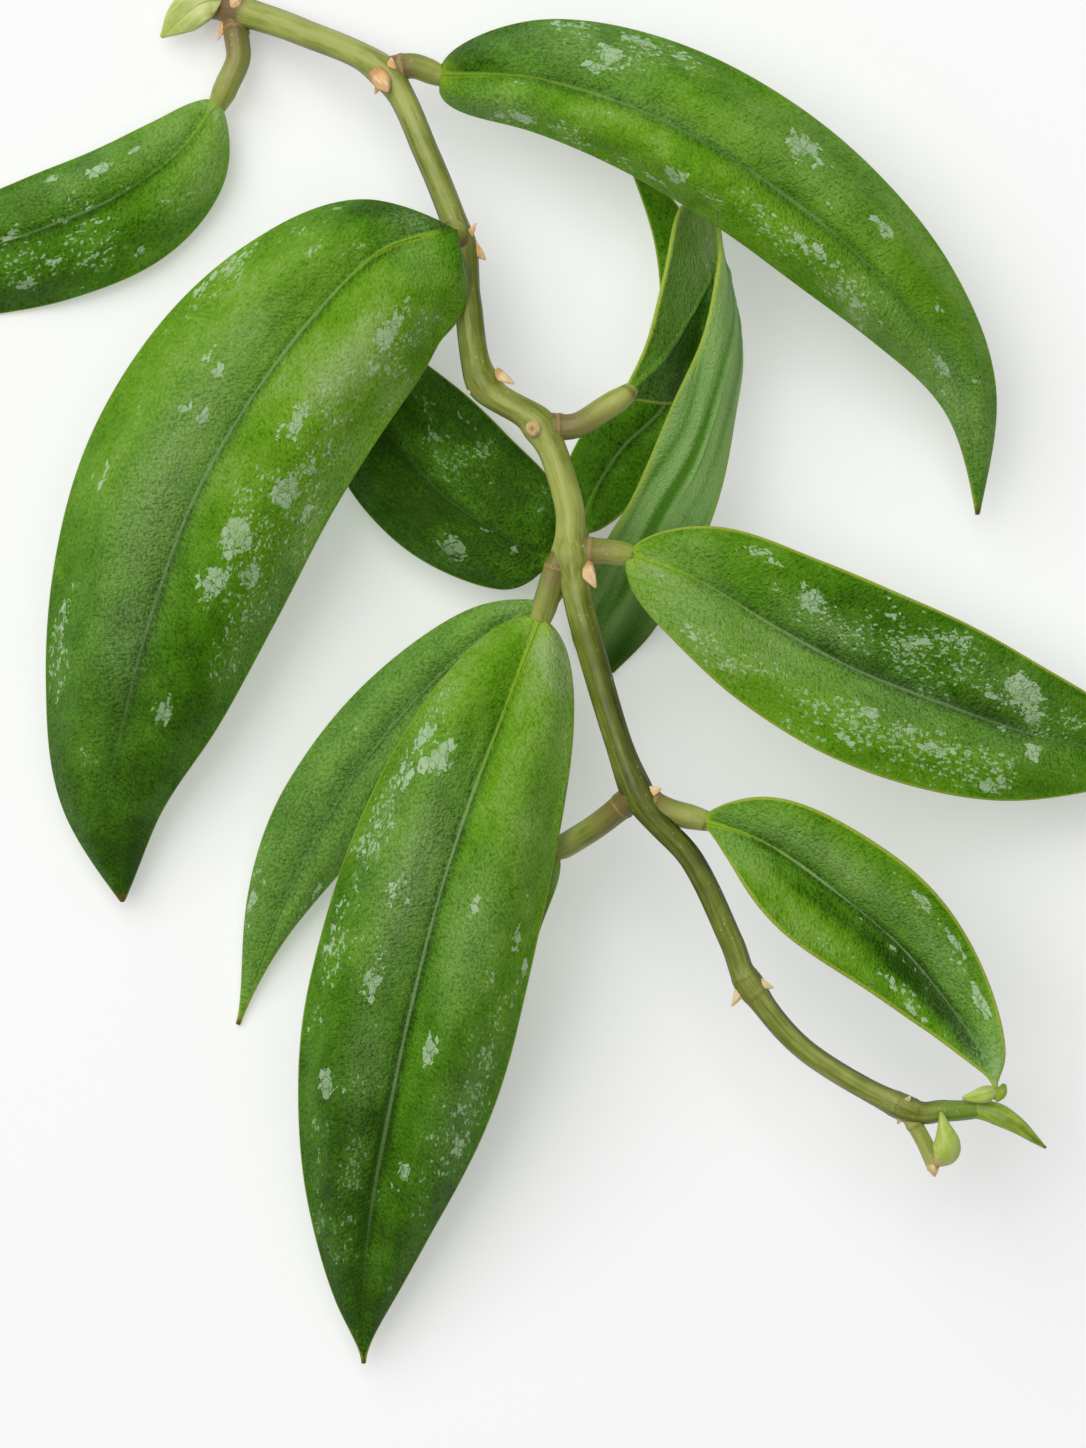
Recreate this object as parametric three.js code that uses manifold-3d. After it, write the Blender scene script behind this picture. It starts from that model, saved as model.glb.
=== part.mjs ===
// A hoya cutting that lies on a table: one bent vine, eleven waxy leaves on short stalks,
// and the young leaves and bud at its growing end. Millimetres, +Z up.
// The origin is the middle of the outline on the table, and the view from above has +Y at its top.
import * as THREE from 'three';
import Module from 'manifold-3d';

const wasm = await Module();
wasm.setup();

// Driving dimensions
const RIB_THICKNESS = 1.4;
const MARGIN_THICKNESS = 0.9;
const STALK_RADIUS = 2;
const THIN_STALK_RADIUS = 1.7;
const STALK_END_RADIUS = 0.5;
const STEM_CUT_RADIUS = 2.4;
const STEM_TIP_RADIUS = 2;
const NODE_SWELLING = 0.5;
const NODE_LENGTH = 0.2;
const SCALE_TIP_RADIUS = 0.35;
const GAP = 0.3;
const FINEST_DETAIL = 0.02;
const END_HALF_WIDTH = 0.4;
const RIPPLE_HEIGHT = 0.5;
const RIPPLE_COUNT = 2.5;

// How finely the surfaces are divided
const LEAF_ROWS = 14;
const CURL_ROWS = 22;
const YOUNG_ROWS = 7;
const YOUNG_STEPS = 8;
const YOUNG_SIDES = 8;
const COLUMNS = [1, 0.82, 0.5, 0.14, 0, -0.14, -0.5, -0.82, -1];
const STEM_STEPS = 60;
const STEM_SIDES = 8;
const STALK_STEPS = 8;
const STALK_SIDES = 6;
const SCALE_STEPS = 2;
const SCALE_SIDES = 5;

// The part of a midrib, each way, over which a leaf's cross direction is taken.
// The stalk runs on under the first part of the midrib, at three places that lie lower than it.
const CROSS_SPAN = 0.1;
const STALK_RUN = [[0, 0.8], [0.04, 1.2], [0.08, 0.6]];

// The vine from its cut end to its tip. SWELLINGS are the places of its nodes in this list.
const STEM_PATH = [
  [-47.5, 108.6, 2.5], [-44.5, 108.5, 3.5], [-41, 107.6, 4.5], [-30, 103.5, 9.5], [-16.5, 96.5, 14],
  [-9.5, 83, 16.5], [-4, 68.5, 17.5], [-3, 59.5, 19], [-0.5, 46.5, 20.5], [8.5, 39.5, 21.5],
  [13, 27.5, 23.5], [13.5, 18.5, 25], [16.1, 5.5, 27], [23.7, -18.4, 31], [32.5, -29.5, 31.5],
  [38.5, -42, 31], [41.5, -49, 30.5], [50.5, -59.5, 29.5], [66, -68.5, 28.5], [72.5, -69, 28],
  [79, -68, 28],
];
const SWELLINGS = [2, 4, 6, 8, 9, 11, 13, 16, 18];

// Short side shoots: one under the vine that carries three leaves, one with a bud near the tip
const SIDE_SHOOTS = [
  { path: [[13.5, 18.5, 25], [13.4, 22, 20.5], [13.2, 21, 14.5], [13, 17, 9]], radius: 1.9 },
  { path: [[66, -68.5, 28.5], [69, -73.5, 28], [71, -78, 27.5]], radius: 1.5 },
];

// Papery scales at the nodes, each from its root inside the vine to its tip
const SCALES = [
  { root: [-41.8, 106.3, 5], tip: [-43.8, 102, 5], radius: 0.65 },
  { root: [-40.2, 106.6, 4.8], tip: [-38.1, 103.3, 4.5], radius: 0.65 },
  { root: [-40.8, 107.6, 5], tip: [-40.5, 109, 7.6], radius: 1.3 },
  { root: [-17, 96, 14.5], tip: [-15.4, 92.8, 18], radius: 1.7 },
  { root: [-15.2, 95.5, 15], tip: [-15.2, 99.2, 16.5], radius: 1.1 },
  { root: [-16.9, 95.4, 14], tip: [-18.1, 92.4, 14.5], radius: 0.65 },
  { root: [-3.2, 68.7, 18], tip: [-1.4, 71.9, 19], radius: 0.7 },
  { root: [-3, 69, 17.5], tip: [0.2, 66, 18.5], radius: 0.9 },
  { root: [-0.3, 47.5, 20.5], tip: [-3.1, 43.9, 21], radius: 1.1 },
  { root: [0.6, 47.6, 21], tip: [5, 46.2, 22], radius: 0.95 },
  { root: [8, 39, 21.5], tip: [7.5, 39.2, 24.9], radius: 1.4 },
  { root: [14.5, 17.8, 25.5], tip: [17.6, 14, 26.6], radius: 1.2 },
  { root: [25, -18.8, 31.3], tip: [28.2, -17.9, 32.5], radius: 1 },
  { root: [24, -20.3, 31], tip: [24.4, -24.3, 31.5], radius: 0.95 },
  { root: [40.6, -48.9, 30.5], tip: [38.6, -52.8, 31], radius: 0.95 },
  { root: [42, -48.4, 30.5], tip: [46, -49.6, 31.5], radius: 0.95 },
  { root: [65.9, -68.2, 28.6], tip: [67.1, -66.2, 31], radius: 0.6 },
  { root: [65.8, -69, 28.5], tip: [64.9, -71.6, 28.8], radius: 0.7 },
  { root: [70.4, -76.8, 27.7], tip: [70.9, -79.8, 27.8], radius: 0.9 },
];

// Each leaf has its stalk's path up to the blade, its midrib from base to tip, and its two halves.
// A half lists its half-width in plan, the part of the length where it is widest, the exponents
// of its rounding at the base and at the tip, the rise of its margin and the height of its dome.
const LEAVES = {
  leaf_upper_right: {
    color: '#4c7f2b',
    stalk: [[-16.5, 96.5, 14], [-12, 97.5, 14]],
    rib: [[-7.5, 96, 14.5], [8.5, 94.5, 22], [24.5, 89, 27], [40, 80.5, 29],
      [54.5, 70, 27.5], [67, 58, 23], [76, 44, 16], [79, 26, 7]],
    left: [12.8, 0.4, 0.5, 1, -4.5, 2],
    right: [9.4, 0.52, 0.3, 1.7, -4.5, 2],
  },
  leaf_left: {
    color: '#568a33',
    stalk: [[-4, 68.5, 17.5], [-5.4, 70.4, 20.2]],
    rib: [[-7.5, 71, 24], [-16.5, 67, 26.5], [-26.5, 57.5, 27.5], [-36.5, 44.5, 27],
      [-45.5, 29.5, 25], [-52, 13.5, 21.5], [-57.2, -4, 16.5], [-60.6, -20.5, 10.5], [-59, -36.5, 4]],
    left: [19.8, 0.48, 0.3, 1, -5, 3],
    right: [19.4, 0.45, 1, 1, -7, 3],
  },
  leaf_upper_left: {
    color: '#3f6b1f',
    stalk: [[-41, 107.6, 4.5], [-40.6, 103.5, 5], [-40.3, 99.5, 5.5], [-42, 95.5, 5.5]],
    rib: [[-43.5, 92.5, 5], [-49.5, 84.5, 7], [-59, 77.5, 7], [-72, 72, 5.5],
      [-87, 67, 3.5], [-100, 61, 1.5], [-110.5, 53.5, 0.5]],
    left: [11.8, 0.4, 0.8, 1.2, -4, 1.5],
    right: [8.5, 0.45, 0.6, 1.3, -2.5, 1.5],
  },
  leaf_right: {
    color: '#4f8230',
    stalk: [[13.5, 19.5, 25], [18, 19.5, 25.5]],
    rib: [[22.5, 19, 26], [34, 14.5, 27], [46.5, 7, 26.5], [59, 0.5, 25],
      [72, -4.5, 22.5], [85, -9, 19.5], [98, -12, 16], [111, -15, 12]],
    left: [13.4, 0.45, 0.6, 0.9, 3, 1.5],
    right: [13.9, 0.5, 0.5, 1.1, 2, 2.5],
  },
  leaf_front: {
    color: '#4b7f29',
    stalk: [[13.5, 18, 25], [11, 13.5, 24.5]],
    rib: [[7.5, 8.5, 25], [3, -5.5, 29], [-2.5, -20, 30], [-7.5, -35.5, 28.5], [-12, -53, 25],
      [-15.5, -69.5, 20], [-18.5, -85.5, 14.5], [-20, -100.5, 9], [-20, -111, 5]],
    left: [16.8, 0.5, 0.5, 1.6, -3, 3],
    right: [16.3, 0.49, 0.5, 1.6, -3, 3],
  },
  leaf_lower_left: {
    color: '#48752c',
    stalkRadius: THIN_STALK_RADIUS,
    stalk: [[13, 17.5, 16], [11.2, 14.5, 16.5]],
    rib: [[9.5, 11.5, 17], [-1, 5.5, 17], [-14, -7, 14.5], [-24.5, -21.5, 11],
      [-33.5, -38.5, 5.5], [-40.5, -56.5, 0.5]],
    left: [9.3, 0.4, 0.6, 2, -2, 1.5],
    right: [8.3, 0.6, 0.85, 1.5, -2.5, 1.5],
  },
  leaf_lower_right: {
    color: '#528636',
    stalk: [[23.5, -19, 31], [28.5, -21.5, 30.5]],
    rib: [[34, -23, 31], [44, -26.5, 32.5], [55.5, -34.5, 32], [65, -42.5, 31],
      [73, -52, 31.5], [78.5, -60.5, 35], [80, -65, 36.5]],
    left: [9.6, 0.4, 0.7, 1.6, 4, 2],
    right: [9.9, 0.32, 1.25, 2, 4, 1],
  },
  leaf_middle_left: {
    color: '#2d5213',
    stalkRadius: THIN_STALK_RADIUS,
    stalk: [[13, 17.5, 10.5], [11.5, 17.8, 10.5]],
    rib: [[10, 18.2, 10.5], [5.5, 20.5, 10.5], [-6, 28, 9], [-15.5, 38.5, 6], [-23, 49.5, 3],
      [-29, 59.5, 1]],
    left: [10.4, 0.5, 0.8, 1.5, -2.5, 1.5],
    right: [13.9, 0.45, 0.7, 1, -1.5, 1.5],
  },
  leaf_back: {
    color: '#36611a',
    stalkRadius: THIN_STALK_RADIUS,
    stalk: [[13, 17.5, 9.5], [14, 20.5, 9]],
    rib: [[15, 23, 8], [17.5, 30, 4], [22, 37, 1.5], [28.5, 44, 0.4], [32, 56, 0.4],
      [30.5, 70.5, 1], [23.5, 86.5, 5]],
    left: [8, 0.4, 0.45, 1.2, -0.5, 0.5],
    right: [8, 0.45, 0.6, 1.2, -0.5, 0.5],
  },
  leaf_hidden: {
    color: '#3d6a22',
    stalk: [[23.5, -19, 31], [18, -23.5, 26.5], [13.5, -26.5, 22]],
    rib: [[11, -28, 20], [3, -36.5, 17], [-3.5, -49.5, 13], [-9, -63.5, 9], [-13.5, -76.5, 5],
      [-15.5, -87.5, 2.5]],
    left: [8, 0.45, 0.6, 1.2, -2, 1.5],
    right: [9.3, 0.45, 0.6, 1.2, -2, 1.5],
  },
};

// The curled leaf turns back over itself, so its two margins have paths of their own
const CURLED_LEAF = {
  color: '#5a8a45',
  stalk: [[8.5, 39.5, 21.5], [14, 39.5, 22], [18.5, 42, 24]],
  left: [[23, 45, 26], [25.5, 53, 22], [28.5, 64.5, 17], [31, 75, 12.5], [36, 75.5, 10.5],
    [38.5, 69.5, 16.5], [36.5, 63.5, 24.5], [34, 53, 28.5], [29.5, 43, 27], [23.5, 29, 19],
    [18.5, 20.5, 11], [13.5, 9, 3.5], [15.5, 1, 0.5]],
  rib: [[23.5, 44.5, 26], [27.5, 50, 20], [32.5, 58, 12], [36.5, 64.5, 7.5], [39.5, 66.5, 11],
    [40, 60.5, 17.5], [39, 54, 23.5], [37.5, 46.5, 26], [33.5, 33.5, 22], [28.5, 24, 15],
    [23, 12, 6], [19.5, 5, 1.5], [18, 0.5, 0.5]],
  right: [[23.5, 44, 26], [29, 43, 20.5], [34.5, 44.5, 14.5], [38.5, 48, 11], [40.5, 52, 12],
    [40.5, 52.5, 15.5], [40.5, 48.5, 19.5], [39.5, 42, 21], [37.5, 30, 18], [33.5, 18.5, 11],
    [28, 9, 4], [24.5, 4.5, 1], [20.5, 0.5, 0.5]],
};

// A small leaf at the cut end, listed as the large ones are
const CUT_END_LEAF = {
  color: '#9aa968',
  rib: [[-43.2, 109, 6.2], [-46, 108.4, 6.6], [-49.5, 106, 5.5], [-52.7, 103.3, 3.6]],
  left: [2.8, 0.45, 0.6, 1.2, 0.3, 0.4],
  right: [2.8, 0.45, 0.6, 1.2, 0.3, 0.4],
};

// The folded leaves at the growing end, as paths with the radius at each of their points
const YOUNG_LEAVES = {
  tip_leaf: {
    color: '#7f9a3c',
    path: [[79.5, -68.2, 28], [82.8, -69.9, 28.5], [85.9, -72.5, 28], [88.6, -75, 27]],
    radii: [2, 1.9, 1.1, 0.35],
  },
  tip_bud: {
    color: '#8fa84a',
    path: [[75.3, -66.8, 29.6], [78.6, -66.3, 31], [81.6, -65.3, 31.6]],
    radii: [0.5, 1.2, 0.9],
  },
  side_bud: {
    color: '#9db84c',
    path: [[71.2, -77.2, 28.4], [72.6, -74.3, 29.8], [71.7, -69, 31]],
    radii: [0.9, 2.2, 0.35],
  },
};

const STEM_COLOR = '#77803c';
const STEM_ROUGHNESS = 0.6;
const LEAF_ROUGHNESS = 0.4;
const YOUNG_ROUGHNESS = 0.45;

function vectors(points) {
  return points.map((point) => new THREE.Vector3(...point));
}

function curveThrough(points) {
  return new THREE.CatmullRomCurve3(vectors(points), false, 'catmullrom', 0.5);
}

// A closed body through rings of equal count, with its two ends closed by strips.
// The second half of each ring is split along the other diagonal, so that the upper and
// the lower face of a blade have the same triangles.
function loft(rings) {
  const count = rings[0].length;
  const last = rings.length - 1;
  const triangles = [];
  const at = (ring, i) => ring * count + (i % count);
  for (let ring = 0; ring < last; ring += 1) {
    for (let i = 0; i < count; i += 1) {
      const a = at(ring, i);
      const b = at(ring, i + 1);
      const c = at(ring + 1, i + 1);
      const d = at(ring + 1, i);
      if (i < count / 2) {
        triangles.push(a, b, c, a, c, d);
      } else {
        triangles.push(a, b, d, b, c, d);
      }
    }
  }
  for (let i = 0; i < count / 2 - 1; i += 1) {
    const j = count - 1 - i;
    for (const [ring, turned] of [[0, true], [last, false]]) {
      for (const [p, q, r] of [[i, i + 1, j], [i + 1, j - 1, j]]) {
        if (q === r || p === q) continue;
        triangles.push(at(ring, p), at(ring, turned ? r : q), at(ring, turned ? q : r));
      }
    }
  }
  const positions = rings.flat().flatMap((point) => [point.x, point.y, point.z]);
  return solid(positions, triangles);
}

function solid(positions, triangles) {
  return new wasm.Manifold(new wasm.Mesh({
    numProp: 3,
    vertProperties: new Float32Array(positions),
    triVerts: new Uint32Array(triangles),
  }));
}

function meshOf(name, body, color, roughness) {
  const { vertProperties, triVerts } = body.getMesh();
  const geometry = new THREE.BufferGeometry();
  geometry.setAttribute('position', new THREE.BufferAttribute(new Float32Array(vertProperties), 3));
  geometry.setIndex(new THREE.BufferAttribute(new Uint32Array(triVerts), 1));
  geometry.computeVertexNormals();
  const mesh = new THREE.Mesh(
    geometry,
    new THREE.MeshStandardMaterial({ color, roughness, metalness: 0 }),
  );
  mesh.name = name;
  return mesh;
}

// A round body along a curve. radiusAt takes the curve's own parameter, from 0 to 1.
function sweep(curve, steps, sides, radiusAt) {
  const { normals, binormals } = curve.computeFrenetFrames(steps, false);
  const rings = [];
  for (let step = 0; step <= steps; step += 1) {
    const centre = curve.getPointAt(step / steps);
    const radius = radiusAt(curve.getUtoTmapping(step / steps));
    const ring = [];
    for (let side = 0; side < sides; side += 1) {
      const angle = (2 * Math.PI * side) / sides;
      ring.push(centre.clone()
        .addScaledVector(normals[step], radius * Math.cos(angle))
        .addScaledVector(binormals[step], radius * Math.sin(angle)));
    }
    rings.push(ring);
  }
  return loft(rings);
}

// The vine with its side shoots and scales, all of it thicker by extra
function stemBody(extra) {
  const spans = STEM_PATH.length - 1;
  const radiusAt = (t) => {
    const taper = THREE.MathUtils.lerp(STEM_CUT_RADIUS, STEM_TIP_RADIUS, t);
    const swelling = SWELLINGS.reduce(
      (sum, node) => sum + Math.exp(-(((t * spans - node) / NODE_LENGTH) ** 2)),
      0,
    );
    return taper + NODE_SWELLING * swelling + extra;
  };
  let body = sweep(curveThrough(STEM_PATH), STEM_STEPS, STEM_SIDES, radiusAt);
  for (const shoot of SIDE_SHOOTS) {
    const along = curveThrough(shoot.path);
    body = body.add(sweep(along, STALK_STEPS, STEM_SIDES, () => shoot.radius + extra));
  }
  for (const scale of SCALES) {
    const along = curveThrough([scale.root, scale.tip]);
    const scaleRadius = (t) => THREE.MathUtils.lerp(scale.radius, SCALE_TIP_RADIUS, t) + extra;
    body = body.add(sweep(along, SCALE_STEPS, SCALE_SIDES, scaleRadius));
  }
  return body;
}

// How wide a half is along its length, from 0 at its ends to 1 where it is widest
function halfProfile(u, widest, baseRounding, tipRounding) {
  const span = u < widest ? widest : 1 - widest;
  const rest = Math.max(1 - ((u - widest) / span) ** 2, 0);
  return rest ** (u < widest ? baseRounding : tipRounding);
}

// A point of a leaf's middle surface: u runs from base to tip, v from 1 at the left
// margin to -1 at the right
function leafPoint(leaf, rib, u, v) {
  const ahead = rib.getPoint(Math.min(u + CROSS_SPAN, 1));
  const behind = rib.getPoint(Math.max(u - CROSS_SPAN, 0));
  const across = new THREE.Vector3(behind.y - ahead.y, ahead.x - behind.x, 0).normalize();
  const [width, widest, baseRounding, tipRounding, rise, dome] = v < 0 ? leaf.right : leaf.left;
  const share = halfProfile(u, widest, baseRounding, tipRounding);
  const out = Math.abs(v);
  const ripple = RIPPLE_HEIGHT * Math.sin(2 * Math.PI * RIPPLE_COUNT * u + Math.sign(v));
  const point = rib.getPoint(u).addScaledVector(across, v * (width * share + END_HALF_WIDTH));
  point.z += share * ((rise + ripple) * out ** 2 + dome * Math.sin(Math.PI * out));
  return point;
}

// The same for the curled leaf: the parabola through both margins and the midrib
function curledPoint(paths, u, v) {
  const left = paths.left.getPoint(u);
  const right = paths.right.getPoint(u);
  const middle = paths.rib.getPoint(u);
  const bend = left.clone().add(right).multiplyScalar(0.5).sub(middle);
  return middle
    .addScaledVector(left.sub(right), v / 2)
    .addScaledVector(bend, v * v);
}

// A blade round a middle surface, lifted where it would reach below the table
function blade(pointAt, rowCount) {
  const rows = [];
  for (let row = 0; row <= rowCount; row += 1) {
    const u = (1 - Math.cos((Math.PI * row) / rowCount)) / 2;
    rows.push(COLUMNS.map((v) => pointAt(u, v)));
  }
  const rings = rows.map((points, row) => {
    const before = rows[Math.max(row - 1, 0)];
    const after = rows[Math.min(row + 1, rowCount)];
    const upper = [];
    const lower = [];
    points.forEach((point, column) => {
      const nextLeft = points[Math.max(column - 1, 0)];
      const nextRight = points[Math.min(column + 1, COLUMNS.length - 1)];
      const along = after[column].clone().sub(before[column]);
      const normal = along.cross(nextLeft.clone().sub(nextRight)).normalize();
      const out = Math.abs(COLUMNS[column]);
      const half = THREE.MathUtils.lerp(RIB_THICKNESS, MARGIN_THICKNESS, out) / 2;
      const top = point.clone().addScaledVector(normal, half);
      const bottom = point.clone().addScaledVector(normal, -half);
      const lift = Math.max(0, -Math.min(top.z, bottom.z));
      top.z += lift;
      bottom.z += lift;
      upper.push(top);
      lower.unshift(bottom);
    });
    return [...upper, ...lower];
  });
  return loft(rings);
}

// A stalk that runs on under the first part of the midrib, getting thinner
function stalkBody(leaf, rib) {
  const runOn = STALK_RUN.map(([u, drop]) => {
    const point = rib.getPoint(u);
    return [point.x, point.y, point.z - drop];
  });
  const curve = curveThrough([...leaf.stalk, ...runOn]);
  const bladeStart = leaf.stalk.length / (leaf.stalk.length + runOn.length - 1);
  const radius = leaf.stalkRadius ?? STALK_RADIUS;
  const radiusAt = (t) => {
    const under = Math.max(0, (t - bladeStart) / (1 - bladeStart));
    return THREE.MathUtils.lerp(radius, STALK_END_RADIUS, under);
  };
  return sweep(curve, STALK_STEPS, STALK_SIDES, radiusAt);
}

// A folded young leaf: round, with its radius taken along its path
function youngBody(leaf) {
  const radii = curveThrough(leaf.radii.map((radius) => [radius, 0, 0]));
  return sweep(curveThrough(leaf.path), YOUNG_STEPS, YOUNG_SIDES, (t) => radii.getPoint(t).x);
}

// A leaf with room for the vine cut out of it, without the loose ends and the very short edges
// that the cut leaves
function clearOfStem(body, room) {
  const pieces = body.subtract(room).decompose();
  const largest = pieces.reduce((best, piece) => (piece.volume() > best.volume() ? piece : best));
  return largest.asOriginal().simplify(FINEST_DETAIL);
}

const cutting = new THREE.Group();
cutting.add(meshOf('stem', stemBody(0).asOriginal().simplify(FINEST_DETAIL), STEM_COLOR, STEM_ROUGHNESS));
const stemRoom = stemBody(GAP);

for (const [name, leaf] of Object.entries(LEAVES)) {
  const rib = curveThrough(leaf.rib);
  const grown = blade((u, v) => leafPoint(leaf, rib, u, v), LEAF_ROWS).add(stalkBody(leaf, rib));
  cutting.add(meshOf(name, clearOfStem(grown, stemRoom), leaf.color, LEAF_ROUGHNESS));
}

const curledPaths = {
  left: curveThrough(CURLED_LEAF.left),
  rib: curveThrough(CURLED_LEAF.rib),
  right: curveThrough(CURLED_LEAF.right),
};
const curledBody = clearOfStem(
  blade((u, v) => curledPoint(curledPaths, u, v), CURL_ROWS)
    .add(stalkBody(CURLED_LEAF, curledPaths.rib)),
  stemRoom,
);
cutting.add(meshOf('leaf_curled', curledBody, CURLED_LEAF.color, LEAF_ROUGHNESS));

const cutEndRib = curveThrough(CUT_END_LEAF.rib);
const cutEndBody = clearOfStem(
  blade((u, v) => leafPoint(CUT_END_LEAF, cutEndRib, u, v), YOUNG_ROWS),
  stemRoom,
);
cutting.add(meshOf('cut_end_leaf', cutEndBody, CUT_END_LEAF.color, YOUNG_ROUGHNESS));

for (const [name, leaf] of Object.entries(YOUNG_LEAVES)) {
  const grown = clearOfStem(youngBody(leaf), stemRoom);
  cutting.add(meshOf(name, grown, leaf.color, YOUNG_ROUGHNESS));
}

export default cutting;
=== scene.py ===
# %% [markdown]
# # A hoya cutting, one surface at a time
# The object is a cutting of a hoya that lies on a table: a bent green vine, long waxy leaves
# with silver flecks, papery scales at the nodes and a young growing tip. A plain model of it is
# already there, with every piece at its true size. This lesson dresses that model: each leaf, the
# vine and the small pieces are made again as finer surfaces in the same places.
# The plain model is loaded first, and the size of its box is measured and printed. The finer
# surfaces must not make the object larger.

import bpy
import numpy as np
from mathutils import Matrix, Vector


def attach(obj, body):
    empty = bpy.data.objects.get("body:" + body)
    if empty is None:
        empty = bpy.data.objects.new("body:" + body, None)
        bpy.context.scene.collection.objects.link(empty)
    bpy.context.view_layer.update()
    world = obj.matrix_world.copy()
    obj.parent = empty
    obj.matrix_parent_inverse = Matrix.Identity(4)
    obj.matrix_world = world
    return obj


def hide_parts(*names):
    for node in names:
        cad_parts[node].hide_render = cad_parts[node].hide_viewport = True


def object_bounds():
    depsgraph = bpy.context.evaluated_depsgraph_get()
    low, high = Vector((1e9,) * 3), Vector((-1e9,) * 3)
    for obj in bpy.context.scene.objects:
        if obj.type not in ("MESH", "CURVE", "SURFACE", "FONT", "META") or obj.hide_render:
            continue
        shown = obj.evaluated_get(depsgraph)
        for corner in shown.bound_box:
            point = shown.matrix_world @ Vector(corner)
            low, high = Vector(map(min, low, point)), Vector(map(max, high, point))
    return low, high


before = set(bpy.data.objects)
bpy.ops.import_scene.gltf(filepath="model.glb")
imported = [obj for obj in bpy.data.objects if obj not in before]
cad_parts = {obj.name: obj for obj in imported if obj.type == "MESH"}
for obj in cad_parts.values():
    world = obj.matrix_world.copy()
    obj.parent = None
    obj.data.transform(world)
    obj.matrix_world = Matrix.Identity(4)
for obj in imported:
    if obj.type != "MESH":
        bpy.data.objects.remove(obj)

cad_low, cad_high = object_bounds()
cad_size = [round(side, 4) for side in cad_high - cad_low]
print("plain model:", len(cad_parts), "nodes, size in m", cad_size)

# %% [markdown]
# ## The table, the light and the camera
# The cutting is seen straight from above, on a white light table, in the light of a very large
# softbox at the upper left. Its shadows are pale, so the table glows a little by itself. A bright
# sky would fill the shadows too, but it would also lie as a grey veil on every waxy leaf, so the
# sky stays dim and a second wide lamp above the camera fills instead. A long lens far above keeps
# the leaves' outlines true.
# Blender works in metres and every size below is in millimetres, so one factor joins the two.

# %% Table, light and camera
MM = 0.001
CAMERA_PLACE = (8.96, -7.84, 1100.0)
SHARP_HEIGHT = 15.0
VIEW_LENGTH = 231.68
SENSOR_WIDTH = 36.0
TABLE_SIZE = 6000.0
TABLE_DROP = 0.05
WHITE = (1.0, 1.0, 1.0, 1.0)
TABLE_COLOUR = (0.72, 0.72, 0.72, 1.0)
TABLE_ROUGHNESS = 0.9
TABLE_GLOW = 0.31
SKY_STRENGTH = 0.2
LAMPS = {
    "softbox": ((-1150.0, 1100.0, 2250.0), 2700.0, 60.0),
    "top_light": ((0.0, 250.0, 2600.0), 2400.0, 17.0),
}

scene = bpy.context.scene
scene.view_settings.view_transform = "Standard"


def add_object(name, data):
    """An object at the origin, in the scene."""
    made = bpy.data.objects.new(name, data)
    scene.collection.objects.link(made)
    return made


camera_data = bpy.data.cameras.new("camera")
camera_data.sensor_width = SENSOR_WIDTH
camera_data.lens = SENSOR_WIDTH * (CAMERA_PLACE[2] - SHARP_HEIGHT) / VIEW_LENGTH
camera = add_object("camera", camera_data)
camera.location = [MM * part for part in CAMERA_PLACE]
scene.camera = camera

for name, (lamp_place, size, power) in LAMPS.items():
    lamp_data = bpy.data.lights.new(name, "AREA")
    lamp_data.shape = "SQUARE"
    lamp_data.size = MM * size
    lamp_data.energy = power
    lamp = add_object(name, lamp_data)
    lamp.location = [MM * part for part in lamp_place]
    lamp.rotation_euler = (-lamp.location).to_track_quat("-Z", "Y").to_euler()

sky = bpy.data.worlds.new("sky")
sky.use_nodes = True
sky.node_tree.nodes["Background"].inputs["Color"].default_value = WHITE
sky.node_tree.nodes["Background"].inputs["Strength"].default_value = SKY_STRENGTH
scene.world = sky

half_table = MM * TABLE_SIZE / 2
table_corners = [(-1, -1), (1, -1), (1, 1), (-1, 1)]
table_mesh = bpy.data.meshes.new("table")
table_mesh.from_pydata(
    [(x * half_table, y * half_table, -MM * TABLE_DROP) for x, y in table_corners],
    [],
    [(0, 1, 2, 3)],
)
table = add_object("table", table_mesh)
table_finish = bpy.data.materials.new("white_table")
table_finish.use_nodes = True
table_shader = table_finish.node_tree.nodes["Principled BSDF"]
table_shader.inputs["Base Color"].default_value = TABLE_COLOUR
table_shader.inputs["Roughness"].default_value = TABLE_ROUGHNESS
table_shader.inputs["Specular IOR Level"].default_value = 0.0
table_shader.inputs["Emission Color"].default_value = WHITE
table_shader.inputs["Emission Strength"].default_value = TABLE_GLOW
table_mesh.materials.append(table_finish)
print("lens in mm:", round(camera_data.lens, 1))

# %% [markdown]
# ## Arithmetic with shader sockets
# A finish is a net of nodes, and most of those nodes only add or multiply. Written as nodes they
# are hard to read, so one small class wraps a socket and lets Python's own operators make the
# Math nodes: `1 - mask * 0.5` adds two of them. Any other node comes from its `node` method.

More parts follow.
